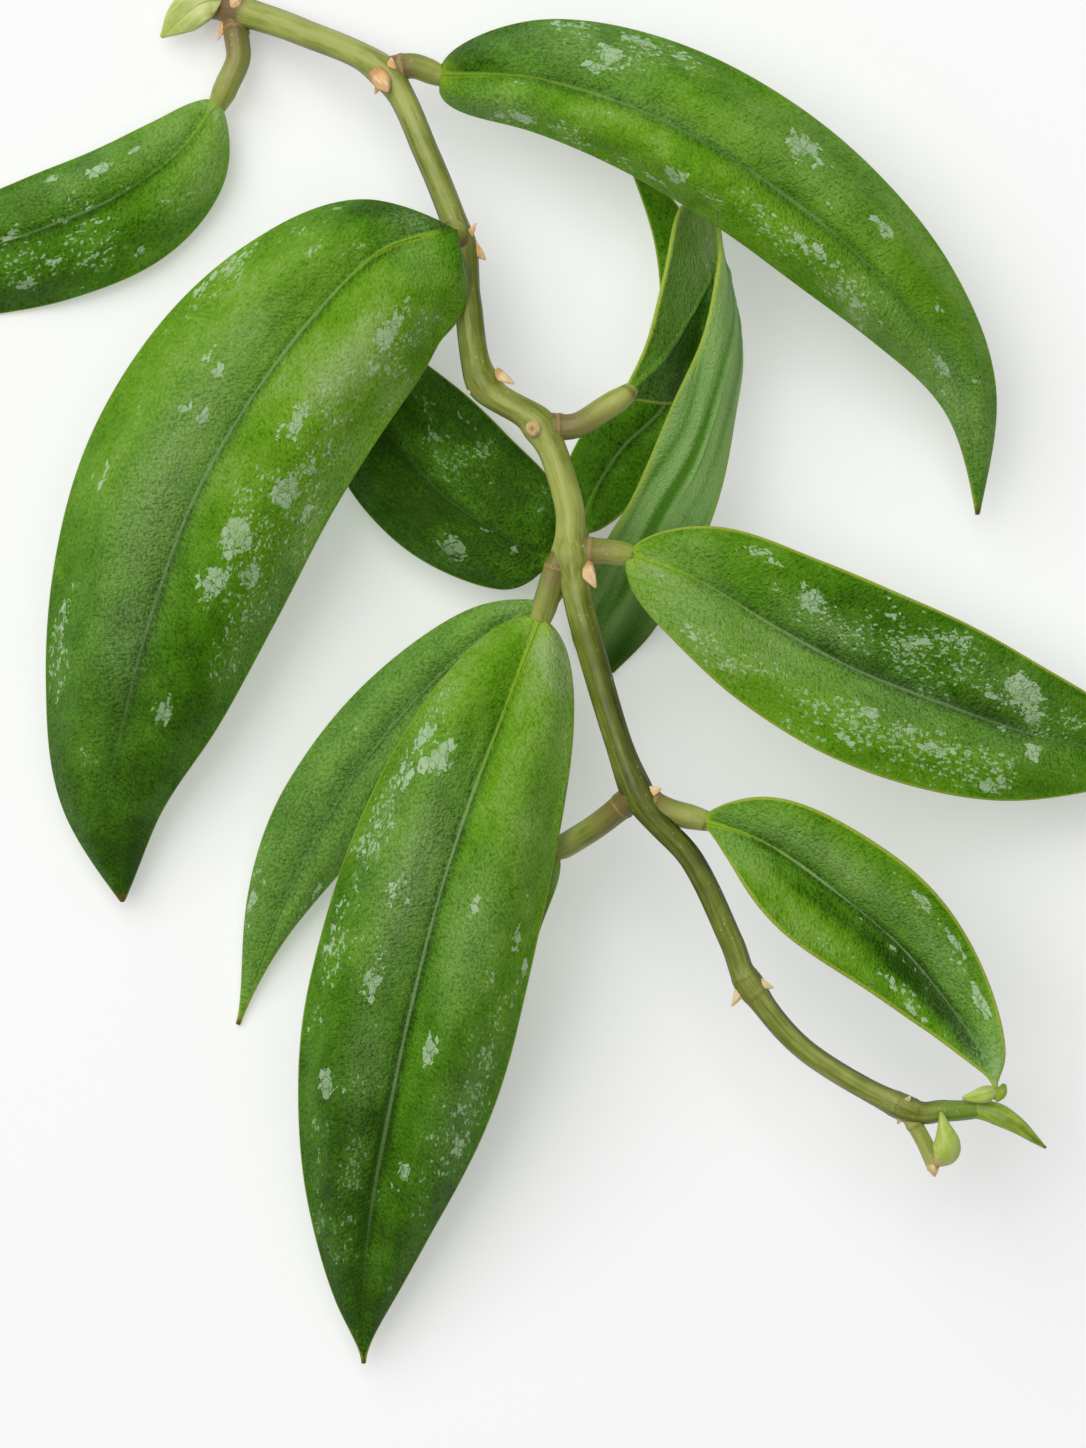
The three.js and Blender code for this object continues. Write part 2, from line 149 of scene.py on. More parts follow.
# %% A socket that can be calculated with
class Wire:
    """A socket of a node tree. Operators add Math nodes, node() adds any other node."""

    def __init__(self, tree, socket=None):
        self.tree = tree
        self.socket = socket

    def node(self, kind, settings, inputs, output=0):
        """Makes a node: first its settings, then the value or the wire of each input."""
        made = self.tree.nodes.new(kind)
        for name, value in settings.items():
            setattr(made, name, value)
        for name, value in inputs.items():
            if isinstance(value, Wire):
                self.tree.links.new(value.socket, made.inputs[name])
            else:
                made.inputs[name].default_value = value
        return Wire(self.tree, made.outputs[output])

    def maths(self, operation, *values):
        return self.node("ShaderNodeMath", {"operation": operation}, dict(enumerate(values)))

    def __add__(self, other):
        return self.maths("ADD", self, other)

    def __sub__(self, other):
        return self.maths("SUBTRACT", self, other)

    def __mul__(self, other):
        return self.maths("MULTIPLY", self, other)

    def __truediv__(self, other):
        return self.maths("DIVIDE", self, other)

    def __pow__(self, other):
        return self.maths("POWER", self, other)

    def __rsub__(self, other):
        return self.maths("SUBTRACT", other, self)

    def __rtruediv__(self, other):
        return self.maths("DIVIDE", other, self)

    def __abs__(self):
        return self.maths("ABSOLUTE", self)

    __radd__ = __add__
    __rmul__ = __mul__


def colour(code):
    """A colour from its six-digit code, as the linear values that shaders use."""
    display = np.array([int(code[i : i + 2], 16) for i in (0, 2, 4)]) / 255
    linear = np.where(display < 0.04045, display / 12.92, ((display + 0.055) / 1.055) ** 2.4)
    return (*linear.tolist(), 1.0)


def parts_of(wire):
    """The three parts of a vector."""
    return [wire.node("ShaderNodeSeparateXYZ", {}, {0: wire}, part) for part in range(3)]


def attribute(wire, name):
    """A vector that the mesh carries at its points."""
    return wire.node("ShaderNodeAttribute", {"attribute_name": name}, {}, "Vector")


def ramp(wire, low, high, kind="SMOOTHSTEP"):
    """0 below low and 1 above high, or the other way round, with a smooth or LINEAR step."""
    if low > high:
        return 1 - ramp(wire, high, low, kind)
    ends = {"Value": wire, "From Min": low, "From Max": high}
    return wire.node("ShaderNodeMapRange", {"interpolation_type": kind}, ends)


def blend(factor, first, second):
    """The first colour where the factor is 0, the second where it is 1."""
    settings = {"data_type": "RGBA", "clamp_factor": True}
    wire = next(value for value in (factor, first, second) if isinstance(value, Wire))
    return wire.node("ShaderNodeMix", settings, {0: factor, 6: first, 7: second}, 2)


def stretched(vector, along, across, through):
    """A vector with each of its three parts multiplied."""
    settings = {"operation": "MULTIPLY"}
    return vector.node("ShaderNodeVectorMath", settings, {0: vector, 1: (along, across, through)})


def noise(vector, scale, detail, roughness=0.5):
    """Soft noise between 0 and 1, with its features about 1 / scale wide."""
    inputs = {"Vector": vector, "Scale": scale, "Detail": detail, "Roughness": roughness}
    return vector.node("ShaderNodeTexNoise", {}, inputs)


def new_finish(name):
    """An empty material: itself, its shader and a wire to start from."""
    material = bpy.data.materials.new(name)
    material.use_nodes = True
    shader = material.node_tree.nodes["Principled BSDF"]
    return material, shader, Wire(material.node_tree)


def connect(shader, **wires):
    """Joins wires to the shader's sockets, named with _ for each space."""
    for name, wire in wires.items():
        wire.tree.links.new(wire.socket, shader.inputs[name.replace("_", " ")])


def bump(height, size):
    """A normal from a height between 0 and 1, where 1 stands size millimetres high."""
    inputs = {"Height": height, "Distance": MM * size, "Strength": 1.0}
    return height.node("ShaderNodeBump", {}, inputs, "Normal")


print("shader helpers ready")

# %% [markdown]
# ## Skins over rings
# Leaves, stalks and the vine are all long closed bodies, so they can share one recipe: rings of
# points along the body, joined by four-sided faces, with a fan at each end. What a finish must
# know, such as how far a point is from the midrib, is stored at the points and goes with them.

# %% Paths, rings and skins
def smooth_path(points, place):
    """The Catmull-Rom curve through points, at places from 0 to 1: between two points it is the
    cubic that has their positions and half the distance of their neighbours as its slopes."""
    listed = np.asarray(points, float)
    ends = [2 * listed[0] - listed[1]], [2 * listed[-1] - listed[-2]]
    all_points = np.concatenate([ends[0], listed, ends[1]])
    spans = len(listed) - 1
    scaled = np.clip(place, 0, 1) * spans
    first = np.minimum(scaled.astype(int), spans - 1)
    part = (scaled - first)[..., None]
    before, start, end, after = (all_points[first + k] for k in range(4))
    slope_in, slope_out = (end - before) / 2, (after - start) / 2
    cubic = 2 * start - 2 * end + slope_in + slope_out
    square = -3 * start + 3 * end - 2 * slope_in - slope_out
    return ((cubic * part + square) * part + slope_in) * part + start


def unit(vectors):
    """Vectors scaled to length 1."""
    return vectors / np.maximum(np.linalg.norm(vectors, axis=-1, keepdims=True), 1e-9)


def path_length(path):
    """The distance along a path from its start, at each of its points."""
    steps = np.linalg.norm(np.diff(path, axis=0), axis=-1)
    return np.concatenate([[0], np.cumsum(steps)])


def tube_rings(path, radius, turn, reference=(0.0, 0.0, 1.0)):
    """Rings round a path: centre + radius (cos turn * side + sin turn * up), where side is
    square to the path and to the reference direction, and up is square to both."""
    forward = unit(np.gradient(path, axis=0))
    side = unit(np.cross(reference, forward))
    up = np.cross(forward, side)
    swing = np.cos(turn)[..., None] * side[:, None] + np.sin(turn)[..., None] * up[:, None]
    return path[:, None] + radius[..., None] * swing


def skin(name, rings, stored):
    """A closed mesh over rings of equal count: point i of ring r joins point i + 1 and the next
    ring, and each end closes to the middle of its ring. stored holds the values at the points."""
    count, sides = rings.shape[:2]
    ring, side = np.meshgrid(np.arange(count - 1), np.arange(sides), indexing="ij")
    following = (side + 1) % sides
    corners = [ring * sides + side, ring * sides + following]
    corners += [corner + sides for corner in reversed(corners)]
    faces = np.stack(corners, axis=-1).reshape(-1, 4).tolist()
    edge = np.arange(sides)
    following = (edge + 1) % sides
    last = (count - 1) * sides
    middles = np.full(sides, count * sides), np.full(sides, count * sides + 1)
    faces += np.stack([middles[0], following, edge], axis=-1).tolist()
    faces += np.stack([middles[1], last + edge, last + following], axis=-1).tolist()

    def at_points(grid):
        """The values of a grid in the order of the mesh's points."""
        return np.concatenate([grid.reshape(count * sides, -1), [grid[0].mean(0)], [grid[-1].mean(0)]])

    mesh = bpy.data.meshes.new(name)
    mesh.from_pydata((MM * at_points(rings)).tolist(), [], faces)
    for key, grid in stored.items():
        layer = mesh.attributes.new(key, "FLOAT_VECTOR", "POINT")
        layer.data.foreach_set("vector", at_points(grid).ravel())
    mesh.shade_smooth()
    return mesh


def add_piece(name, mesh, finish, slot, *nodes):
    """A finished piece: it rides with the cutting and stands for these nodes of the plain model."""
    mesh.materials.append(finish)
    piece = add_object(name, mesh)
    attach(piece, "root")
    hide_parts(*nodes)
    return piece


print("mesh helpers ready")

# %% [markdown]
# ## The shape of a leaf
# A hoya leaf is a stiff blade. Its midrib is a curve in space, and each half beside it has its own
# width, its own rounding at base and tip, and a soft dome, so that the midrib lies in a fold.
# That makes the middle of the blade a function of two numbers: u along the midrib from base to
# tip, and v from the left margin at 1 to the right margin at -1. The two faces stand off that
# middle surface by half the thickness, which runs to nothing at the margin with a round edge.

# %% Leaf surfaces
RIB_THICKNESS = 1.4
MARGIN_THICKNESS = 0.9
MARGIN_ROUNDING = 0.5
TIP_THINNING = 0.5
END_HALF_WIDTH = 0.4
CROSS_SPAN = 0.1
VALLEY = 1.5
RIPPLE_HEIGHT = 0.5
RIPPLE_COUNT = 2.5
LEAF_ROWS = 170
LEAF_COLUMNS = 72
RIB_CROWDING = 0.6


def half_profile(u, widest, base_rounding, tip_rounding):
    """The half-width along a leaf: (1 - s^2)^rounding, where s runs from -1 at the base through 0
    at the widest place to 1 at the tip."""
    nearing = u < widest
    s = (u - widest) / np.where(nearing, widest, 1 - widest)
    return np.maximum(1 - s**2, 0) ** np.where(nearing, base_rounding, tip_rounding)


def flat_leaf(leaf, u, v):
    """The middle surface of a leaf that lies spread out: midrib(u) + v * half-width * across, lifted
    by profile * ((rise + ripple) v^2 + dome sin(pi |v|)^valley), where valley rounds the fold at
    the midrib."""
    ahead = smooth_path(leaf["rib"], np.minimum(u + CROSS_SPAN, 1))
    behind = smooth_path(leaf["rib"], np.maximum(u - CROSS_SPAN, 0))
    across = np.cross((0.0, 0.0, 1.0), ahead - behind)
    right = v < 0
    width, widest, base, tip, rise, dome = (
        np.where(right, r, l) for l, r in zip(leaf["left"], leaf["right"])
    )
    profile = half_profile(u, widest, base, tip)
    ripple = RIPPLE_HEIGHT * np.sin(2 * np.pi * RIPPLE_COUNT * u + np.sign(v))
    out = np.abs(v)
    half_width = width * profile + END_HALF_WIDTH
    point = smooth_path(leaf["rib"], u) + (v * half_width)[..., None] * unit(across)
    point[..., 2] += profile * ((rise + ripple) * out**2 + dome * np.sin(np.pi * out) ** VALLEY)
    return point


def curled_leaf(leaf, u, v):
    """The middle surface of a leaf that turns back over itself: across it runs the parabola through
    its left margin, its midrib and its right margin, each of which is a path of its own."""
    left, middle, right = (smooth_path(leaf[path], u) for path in ("left", "rib", "right"))
    v = v[..., None]
    return middle + v * (left - right) / 2 + v**2 * ((left + right) / 2 - middle)


def leaf_parameters(rows, columns):
    """u and v on the upper face. Rows crowd a little to the ends, and columns to midrib and margins:
    v = cos a (1 - crowding sin^2 a)."""
    even = np.linspace(0, 1, rows + 1)
    u = (even + (1 - np.cos(np.pi * even)) / 2) / 2
    angle = np.linspace(0, np.pi, columns + 1)
    v = np.cos(angle) * (1 - RIB_CROWDING * np.sin(angle) ** 2)
    return np.meshgrid(u, v, indexing="ij")


print("points on a leaf:", (LEAF_ROWS + 1) * 2 * LEAF_COLUMNS)

# %% [markdown]
# ## Relief and markings
# The blade isn't smooth: it has low swells between its side veins, a fine midrib in the fold
# above and a stout one below. Its two halves also differ in tone along their length, so each leaf
# lists a few tones from base to tip for its left half and for its right, where 0 is the deepest
# green and 1 a bright one. These tones hold the leaf's own green and also painted light and shade:
# a half that faces the light is brighter, and one that faces away or lies under other leaves is
# darker. The pale midrib is plain on some leaves and nearly lost on others, and on one leaf its
# start doesn't show.
# The silver flecks are patches where the skin has come loose from the green below it. Each leaf has
# its own, so a short list for each leaf says where they lie: the part of the length, the part of
# the half-width, and the reach along and across in millimetres. A fifth number under 1 breaks a
# patch up into crumbs. The list only gives a soft cloud, and noise in the finish cuts the ragged
# outline out of it. Soft spots of the same kind say where a leaf is brighter or darker than its
# tones, partly in its own colour and partly as painted light and shade. They also say where a
# painted grey sheen lies on its wax, a highlight drawn into the colour.

# %% Leaf relief, tones and fleck clouds
LONG_SWELLS = ((16, 30), 3, 0.2)
SHORT_SWELLS = ((3.2, 6), 6, 0.04)
ANY_TURN = (0, np.pi)
ANY_PHASE = (0, 2 * np.pi)
SWELL_FADE = 3.0
RIB_RELIEF = 0.3
RIB_WIDTH = 0.45
KEEL_RELIEF = 0.55
KEEL_WIDTH = 1.1
TONE_BLEND = 1.2
USUAL = {"rib": 0.75, "dry_tip": 1.0, "rib_start": -1.0}
RIB_FADE = 0.02
LEAF_PATTERN_STEP = 400.0


def swells(along, across, seed):
    """Low waves on a blade, summed: some long ones and some short ones, each listed as a range of
    lengths, a count and a height, in seeded directions."""
    draw = np.random.default_rng(seed)
    height = np.zeros_like(along)
    for lengths, count, size in (LONG_SWELLS, SHORT_SWELLS):
        for _ in range(count):
            length, turn, phase = (draw.uniform(*ends) for ends in (lengths, ANY_TURN, ANY_PHASE))
            run = along * np.cos(turn) + across * np.sin(turn)
            height += size * np.sin(2 * np.pi * run / length + phase)
    return height


def soft_spots(spots, run, across, length, half_width):
    """A layer for each spot: strength * exp(-(distance along / reach along)^2 - (distance across /
    reach across)^2)."""
    layers = [np.zeros_like(run)]
    for u, v, reach_along, reach_across, *strength in spots:
        ahead = (run - u * length) / reach_along
        aside = (across - v * half_width) / reach_across
        layers.append((strength or [1.0])[0] * np.exp(-(ahead**2) - aside**2))
    return np.array(layers)


def half_tones(tones, u, across):
    """The tone of a blade: a smooth path through each half's tones along u, where the left path goes
    over into the right one across the midrib as (1 + tanh(across / blend)) / 2."""
    left, right = (smooth_path([[tone] for tone in half], u)[..., 0] for half in tones)
    return right + (left - right) * (1 + np.tanh(across / TONE_BLEND)) / 2


def leaf_mesh(name, middle, rows, columns, marks, seed):
    """Both faces of a blade round its middle surface, as rings that run over the upper face from
    the left margin to the right and back below, with the values that its finish reads."""
    u, v = leaf_parameters(rows, columns)
    centre = middle(u, v)
    normal = unit(np.cross(np.gradient(centre, axis=1), np.gradient(centre, axis=0)))
    rib = centre[:, columns // 2]
    along = np.broadcast_to(path_length(rib)[:, None], u.shape)
    length = along[-1, 0]
    spread = np.linalg.norm(np.diff(centre, axis=1), axis=-1)
    walked = np.concatenate([np.zeros((rows + 1, 1)), np.cumsum(spread, axis=1)], axis=1)
    across = walked[:, columns // 2, None] - walked
    half_width = np.where(v > 0, across[:, :1], -across[:, -1:])
    margin = np.maximum(half_width - np.abs(across), 0)
    body = np.clip(half_width / half_width.max(), 0, 1)

    edge = np.clip(margin / MARGIN_ROUNDING, 0, 1)
    thin = 1 - TIP_THINNING * (1 - body) ** 3
    thickness = RIB_THICKNESS + (MARGIN_THICKNESS - RIB_THICKNESS) * np.abs(v)
    half = thickness / 2 * thin * np.sqrt(1 - (1 - edge) ** 2)
    waves = swells(along, across, seed) * body * np.clip(margin / SWELL_FADE, 0, 1)
    ridge = RIB_RELIEF * np.exp(-((across / RIB_WIDTH) ** 2)) * (1 - u)
    keel = KEEL_RELIEF * np.exp(-((across / KEEL_WIDTH) ** 2)) * (1 - u) * body
    upper = centre + normal * (half + waves + ridge)[..., None]
    lower = centre - normal * (half - waves + keel)[..., None]

    def spots(kind):
        """The leaf's soft spots of one kind."""
        return soft_spots(marks.get(kind, ()), u * length, across, length, half_width)

    # The sheen spots mark a painted grey highlight of the wax, drawn into the colour.
    fleck, speckle, painted_sheen = (spots(kind).max(axis=0) for kind in ("flecks", "speckle", "painted_sheen"))
    # Tones and shade spots hold the leaf's own green and also painted light and shade.
    tone = half_tones(marks["tones"], u, across) + spots("tone_and_shade_spots").sum(axis=0)
    strength, dry_tip, start = (
        np.full_like(u, marks.get(key, usual)) for key, usual in USUAL.items()
    )
    strength = strength * np.clip((u - start) / RIB_FADE, 0, 1)
    offset = LEAF_PATTERN_STEP * seed
    grids = {
        "leaf_mm": np.stack([along + offset, across, margin], axis=-1),
        "leaf_marks": np.stack([fleck, speckle, tone], axis=-1),
        "leaf_painted_sheen_rib_tip": np.stack([painted_sheen, strength, dry_tip], axis=-1),
    }

    def all_round(above, below):
        """Values of the upper face, then those of the lower face from right to left."""
        return np.concatenate([above, below[:, -2:0:-1]], axis=1)

    rings = all_round(upper, lower)
    rings[..., 2] += np.maximum(-rings[..., 2].min(axis=1, keepdims=True), 0)
    stored = {key: all_round(grid, grid) for key, grid in grids.items()}
    facing = np.where(margin > MARGIN_ROUNDING / 3, 1.0, 0.5)
    above = np.stack([u, v, facing], axis=-1)
    below = np.stack([u, v, 1 - facing], axis=-1)
    stored["leaf_place"] = all_round(above, below)
    return skin(name, rings, stored), length


print("relief, tones and clouds ready")

# %% [markdown]
# ## The waxy finish
# One finish serves all the leaves, because what differs is stored in their points. From below
# upwards it has: a mottled green that follows the stored tone with its painted light and shade,
# painted shade beside the midrib where its fold lies, a little painted light along the fine
# creases, faint slanting veins, a painted grey sheen with fine painted glints that draws the waxy
# highlight into the colour, the pale midrib that is yellow at its base, the bright margin, and the
# silver flecks, which are dimmer where the stored tone paints shade. A fleck ends at the small
# veins, so its outline is made of cells: each cell of a Voronoi pattern has its own random
# threshold, and is silver where the stored cloud exceeds it. The underside is paler and matt, with
# broad soft stripes, and goes to deep green where its stored tone paints shade. Fine wormlike
# creases in the bump break the real highlight up, as the leathery skin does, and that highlight
# itself is a little green.

# %% Leaf finish
GREENS = [colour(code) for code in ("1f4600", "457c02", "6c9f1a", "9ab66c")]
TONE_STEP = 0.5
BASE_GREEN = colour("8fb62c")
RIB_GREEN = colour("86a96a")
MARGIN_GREEN = colour("a4b53a")
# Painted highlight: the grey sheen of the wax.
PAINTED_SHEEN_GREEN = colour("93b078")
FLECK_SILVER = colour("b2cda4")
UNDER_GREEN = colour("4c8220")
UNDER_PALE = colour("93bd6c")
UNDER_EDGE = colour("a2c262")
TIP_BROWN = colour("6b4a22")
SHEEN_TINT = (0.75, 1.0, 0.3, 1.0)
WAX_SHINE = 0.32
WAX_RELIEF = 0.32
VEIN_SPACING = 9.0


def toned(tone, colours, step):
    """Colours that follow each other in even steps of a tone, from 0 upwards."""
    made = colours[0]
    for number, following in enumerate(colours[1:]):
        made = blend(ramp(tone, number * step, (number + 1) * step, "LINEAR"), made, following)
    return made


def cell_values(vector, scale):
    """A random value for each cell of a Voronoi pattern, and the distance to the cell's border."""
    inputs = {"Vector": vector, "Scale": scale}
    random, _, _ = parts_of(vector.node("ShaderNodeTexVoronoi", {}, inputs, "Color"))
    border = vector.node("ShaderNodeTexVoronoi", {"feature": "DISTANCE_TO_EDGE"}, inputs)
    return random, border


def leaf_finish():
    """Waxy green with flecks above, pale and striped below."""
    material, shader, wire = new_finish("waxy_leaf")
    millimetres = attribute(wire, "leaf_mm")
    along, across, margin = parts_of(millimetres)
    u, _, upper = parts_of(attribute(wire, "leaf_place"))
    # The stored tone holds the leaf's own green and also painted light and shade.
    fleck, speckle, stored_tone_and_shade = parts_of(attribute(wire, "leaf_marks"))
    painted_sheen, strength, dry_tip = parts_of(attribute(wire, "leaf_painted_sheen_rib_tip"))
    from_rib = abs(across)
    flat = stretched(millimetres, 1.0, 1.0, 0.0)
    drawn_out = stretched(flat, 0.65, 1.0, 1.0)

    slanted = wire.node("ShaderNodeCombineXYZ", {}, {"X": along - from_rib * 0.4, "Y": across * 0.6})
    crease = 1 - abs(noise(slanted, 1.15, 3.0, 0.6) - 0.5) * 5
    mottle = noise(drawn_out, 0.16, 4.0, 0.6)
    grain = noise(drawn_out, 2.5, 3.0, 0.65)
    # Mottle and grain add the leaf's own random tone; the crease term paints light along the fine
    # creases.
    tone = stored_tone_and_shade + (mottle - 0.5) * 1.2 + (grain - 0.5) * 1.2 + (crease - 0.5) * 0.3
    # Painted shade in the fold beside the midrib.
    rib_fold_shade = ramp(from_rib, 2.2, 0.4) * ramp(u, 0.04, 0.16) * ramp(u, 0.9, 0.6)
    tone = tone - rib_fold_shade * (strength * 0.5 + 0.1)
    slant = (along - from_rib * 0.8) / VEIN_SPACING + mottle * 0.9
    vein = ramp(abs(slant.maths("FRACT", slant) - 0.5) * VEIN_SPACING, 0.35, 0.05)
    green = toned(tone - vein * ramp(grain, 0.4, 0.6) * 0.16, GREENS, TONE_STEP)
    # Painted highlight: a grey sheen on the wax, broken up by fine painted glints.
    painted_glints = ramp(grain + (crease - 0.5) * 0.08, 0.44, 0.62)
    green = blend((painted_sheen + (mottle - 0.5) * 0.5) * (0.25 + painted_glints * 0.6), green, PAINTED_SHEEN_GREEN)

    rib_width = 0.5 + ramp(u, 0.2, 0.0) * 0.5
    rib_line = ramp(from_rib / rib_width, 1.0, 0.5) * ramp(u, 0.95, 0.35)
    rib_green = blend(ramp(u, 0.1, 0.35), BASE_GREEN, RIB_GREEN)
    green = blend(ramp(u, 0.04, 0.0) * ramp(from_rib, 4.0, 1.0) * strength, green, BASE_GREEN)
    green = blend(rib_line * strength, green, rib_green)
    green = blend(ramp(margin, 0.5, 0.2) * 0.7, green, MARGIN_GREEN)

    ragged = noise(drawn_out, 1.2, 2.0)
    warp = (ragged - 0.5) * 1.1
    warped = drawn_out.node("ShaderNodeVectorMath", {"operation": "ADD"}, {0: drawn_out, 1: warp})
    random, border = cell_values(warped, 0.9)
    patch = ramp(fleck + (random - 0.5) * 0.5 + (ragged - 0.5) * 0.9, 0.47, 0.51)
    patch = patch * ramp(border, 0.0, 0.07) * (0.65 + random * 0.35)
    small_random, small_border = cell_values(warped, 2.4)
    crumbs = ramp(small_random * 0.55 + speckle * 0.26 + mottle * 0.7, 0.97, 1.01)
    crumbs = crumbs * ramp(small_border, 0.02, 0.1) * 0.8
    silver = patch.maths("MAXIMUM", patch, crumbs) * ramp(margin, 0.4, 1.0) * ramp(u, 0.02, 0.07)
    # The flecks dim where the stored tone paints shade.
    green = blend(silver * (0.45 + ramp(stored_tone_and_shade, 0.1, 0.4) * 0.48), green, FLECK_SILVER)
    green = blend(ramp(u, 0.985, 0.997) * dry_tip, green, TIP_BROWN)

    stripes = noise(stretched(flat, 0.012, 0.17, 1.0), 1.0, 2.0)
    below = blend(ramp(stripes + (grain - 0.5) * 0.2, 0.38, 0.56), UNDER_GREEN, UNDER_PALE)
    below = blend(ramp(from_rib, 1.7, 0.4) * 0.7, below, UNDER_PALE)
    below = blend(ramp(margin, 2.0, 0.5) * 0.7, below, UNDER_EDGE)
    below = blend(ramp(margin, 0.5, 0.2) * 0.7, below, MARGIN_GREEN)
    # Painted shade: the underside goes deep green where its stored tone is low, as at the curled
    # leaf's end in another leaf's shadow.
    below = blend(ramp(stored_tone_and_shade, 0.3, -0.6) * 0.85, below, GREENS[0])

    height = crease * 0.45 + grain * 0.55 + rib_line * 0.2
    roughness = 0.34 + ramp(grain, 0.3, 0.8) * 0.16 + silver * 0.12 + (1 - upper) * 0.16
    connect(
        shader,
        Base_Color=blend(ramp(upper, 0.4, 0.6), below, green),
        Roughness=roughness,
        Normal=bump(height, WAX_RELIEF),
    )
    shader.inputs["Specular IOR Level"].default_value = WAX_SHINE
    shader.inputs["Specular Tint"].default_value = SHEEN_TINT
    return material


waxy_leaf = leaf_finish()
print("nodes in the leaf finish:", len(waxy_leaf.node_tree.nodes))

# %% [markdown]
# ## The leaves
# Ten leaves lie spread out and one is curled. Their midribs and halves are nearly those of the
# plain model. Each half lists its half-width, the part of the length where it is widest, its
# rounding at base and tip, the rise of its margin and the height of its dome, in millimetres.
# The curled leaf lists its midrib and its two margins as paths.

# %% Leaf sizes and places
LEAVES = {
    "leaf_upper_right": {
        "stalk": [(-16.5, 96.5, 14), (-12, 97.5, 14)],
        "rib": [(-7.5, 96, 14.5), (8.5, 94.5, 22), (24.5, 89, 27), (40, 80.5, 29),
                (54.5, 70, 27.5), (67, 58, 23), (76, 44, 16), (79, 26, 7)],
        "left": (12.8, 0.4, 0.5, 1, -4.5, 2),
        "right": (9.4, 0.52, 0.3, 1.7, -4.5, 2),
    },
    "leaf_left": {
        "stalk_sunk": 3.0,
        "stalk": [(-4, 68.5, 17.5), (-5.5, 70, 19)],
        "rib": [(-5.2, 70.6, 24), (-16.5, 67, 26.5), (-26.5, 57.5, 27.5), (-36.5, 44.5, 27),
                (-45.5, 29.5, 25), (-52, 13.5, 21.5), (-57.2, -4, 16.5), (-60.6, -20.5, 10.5),
                (-59, -36.5, 4)],
        "left": (19.8, 0.48, 0.22, 1, -5, 3),
        "right": (19.4, 0.45, 1, 1, -7, 3),
    },
    "leaf_upper_left": {
        "stalk": [(-41, 107.6, 4.5), (-40.6, 103.5, 5), (-40.3, 99.5, 5.5), (-42, 95.5, 5.5)],
        "rib": [(-43.5, 92.5, 5), (-49.5, 84.5, 7), (-59, 77.5, 7), (-72, 72, 5.5),
                (-87, 67, 3.5), (-100, 61, 1.5), (-110.5, 53.5, 0.5)],
        "left": (11.8, 0.4, 0.8, 1.2, -4, 1.5),
        "right": (8.5, 0.45, 0.6, 1.3, -2.5, 1.5),
    },
    "leaf_right": {
        "stalk": [(13.5, 19.5, 25), (18, 19.5, 25.5)],
        "rib": [(22.5, 19, 26), (34, 14.5, 27), (46.5, 7, 26.5), (59, 0.5, 25),
                (72, -4.5, 22.5), (85, -9, 19.5), (98, -12, 16), (111, -15, 12)],
        "left": (13.4, 0.45, 0.6, 0.9, 3, 1.5),
        "right": (13.9, 0.5, 0.5, 1.1, 2, 2.5),
    },
    "leaf_front": {
        "joint": 0.9,
        "leaving": 4.4,
        "stalk": [(13.3, 20.4, 24.8), (11, 16.6, 25.4), (9.7, 12.6, 25)],
        "rib": [(8.5, 8.7, 25), (3, -5.5, 29), (-2.5, -20, 30), (-7.5, -35.5, 28.5), (-12, -53, 25),
                (-15.5, -69.5, 20), (-18.5, -85.5, 14.5), (-20, -100.5, 9), (-20, -111, 5)],
        "left": (16.8, 0.5, 0.5, 1.6, -3, 3),
        "right": (16.3, 0.49, 0.5, 1.6, -3, 3),
    },
    "leaf_lower_left": {
        "stalk_radius": 1.7,
        "stalk": [(13.3, 21.2, 15.8), (11.9, 16.2, 16.3)],
        "rib": [(9.5, 11.5, 17), (-1, 5.5, 17), (-14, -7, 14.5), (-24.5, -21.5, 11),
                (-33.5, -38.5, 5.5), (-40.5, -56.5, 0.5)],
        "left": (9.3, 0.4, 0.6, 2, -2, 1.5),
        "right": (8.3, 0.6, 0.85, 1.5, -2.5, 1.5),
    },
    "leaf_lower_right": {
        "stalk": [(23.5, -19, 31), (28.5, -21.5, 30.5)],
        "rib": [(34, -23, 31), (44, -26.5, 32.5), (55.5, -34.5, 32), (65, -42.5, 31),
                (73, -52, 31.5), (78.5, -60.5, 35), (80, -65, 36.5)],
        "left": (9.6, 0.4, 0.7, 1.6, 4, 2),
        "right": (9.9, 0.32, 1.25, 2, 4, 1),
    },
    "leaf_middle_left": {
        "stalk_radius": 1.2,
        "stalk": [(13, 17.5, 10.5), (11.5, 17.8, 10.5)],
        "rib": [(10, 18.2, 10.5), (5.5, 20.5, 10.5), (-6, 28, 9), (-15.5, 38.5, 6), (-23, 49.5, 3),
                (-29, 59.5, 1)],
        "left": (10.4, 0.5, 0.8, 1.5, -2.5, 1.5),
        "right": (13.9, 0.45, 0.7, 1, -1.5, 1.5),
    },
    "leaf_back": {
        "stalk_radius": 1.7,
        "stalk": [(13, 17.5, 9.5), (14, 20.5, 9)],
        "rib": [(15, 23, 8), (17.5, 30, 4), (22, 37, 1.5), (28.8, 44, 0.4), (32.8, 56, 0.4),
                (30, 70.5, 1), (21.5, 87, 5)],
        "left": (6.5, 0.4, 0.45, 1.2, -0.5, 0.5),
        "right": (8, 0.45, 0.6, 1.2, -0.5, 0.5),
    },
    "leaf_hidden": {
        "stalk": [(23.5, -19, 31), (18, -23.5, 26.5), (13.5, -26.5, 22)],
        "rib": [(11, -28, 20), (3, -36.5, 17), (-3.5, -49.5, 13), (-9, -63.5, 9), (-13.5, -76.5, 5),
                (-15.5, -87.5, 2.5)],
        "left": (8, 0.45, 0.6, 1.2, -2, 1.5),
        "right": (9.3, 0.45, 0.6, 1.2, -2, 1.5),
    },
}
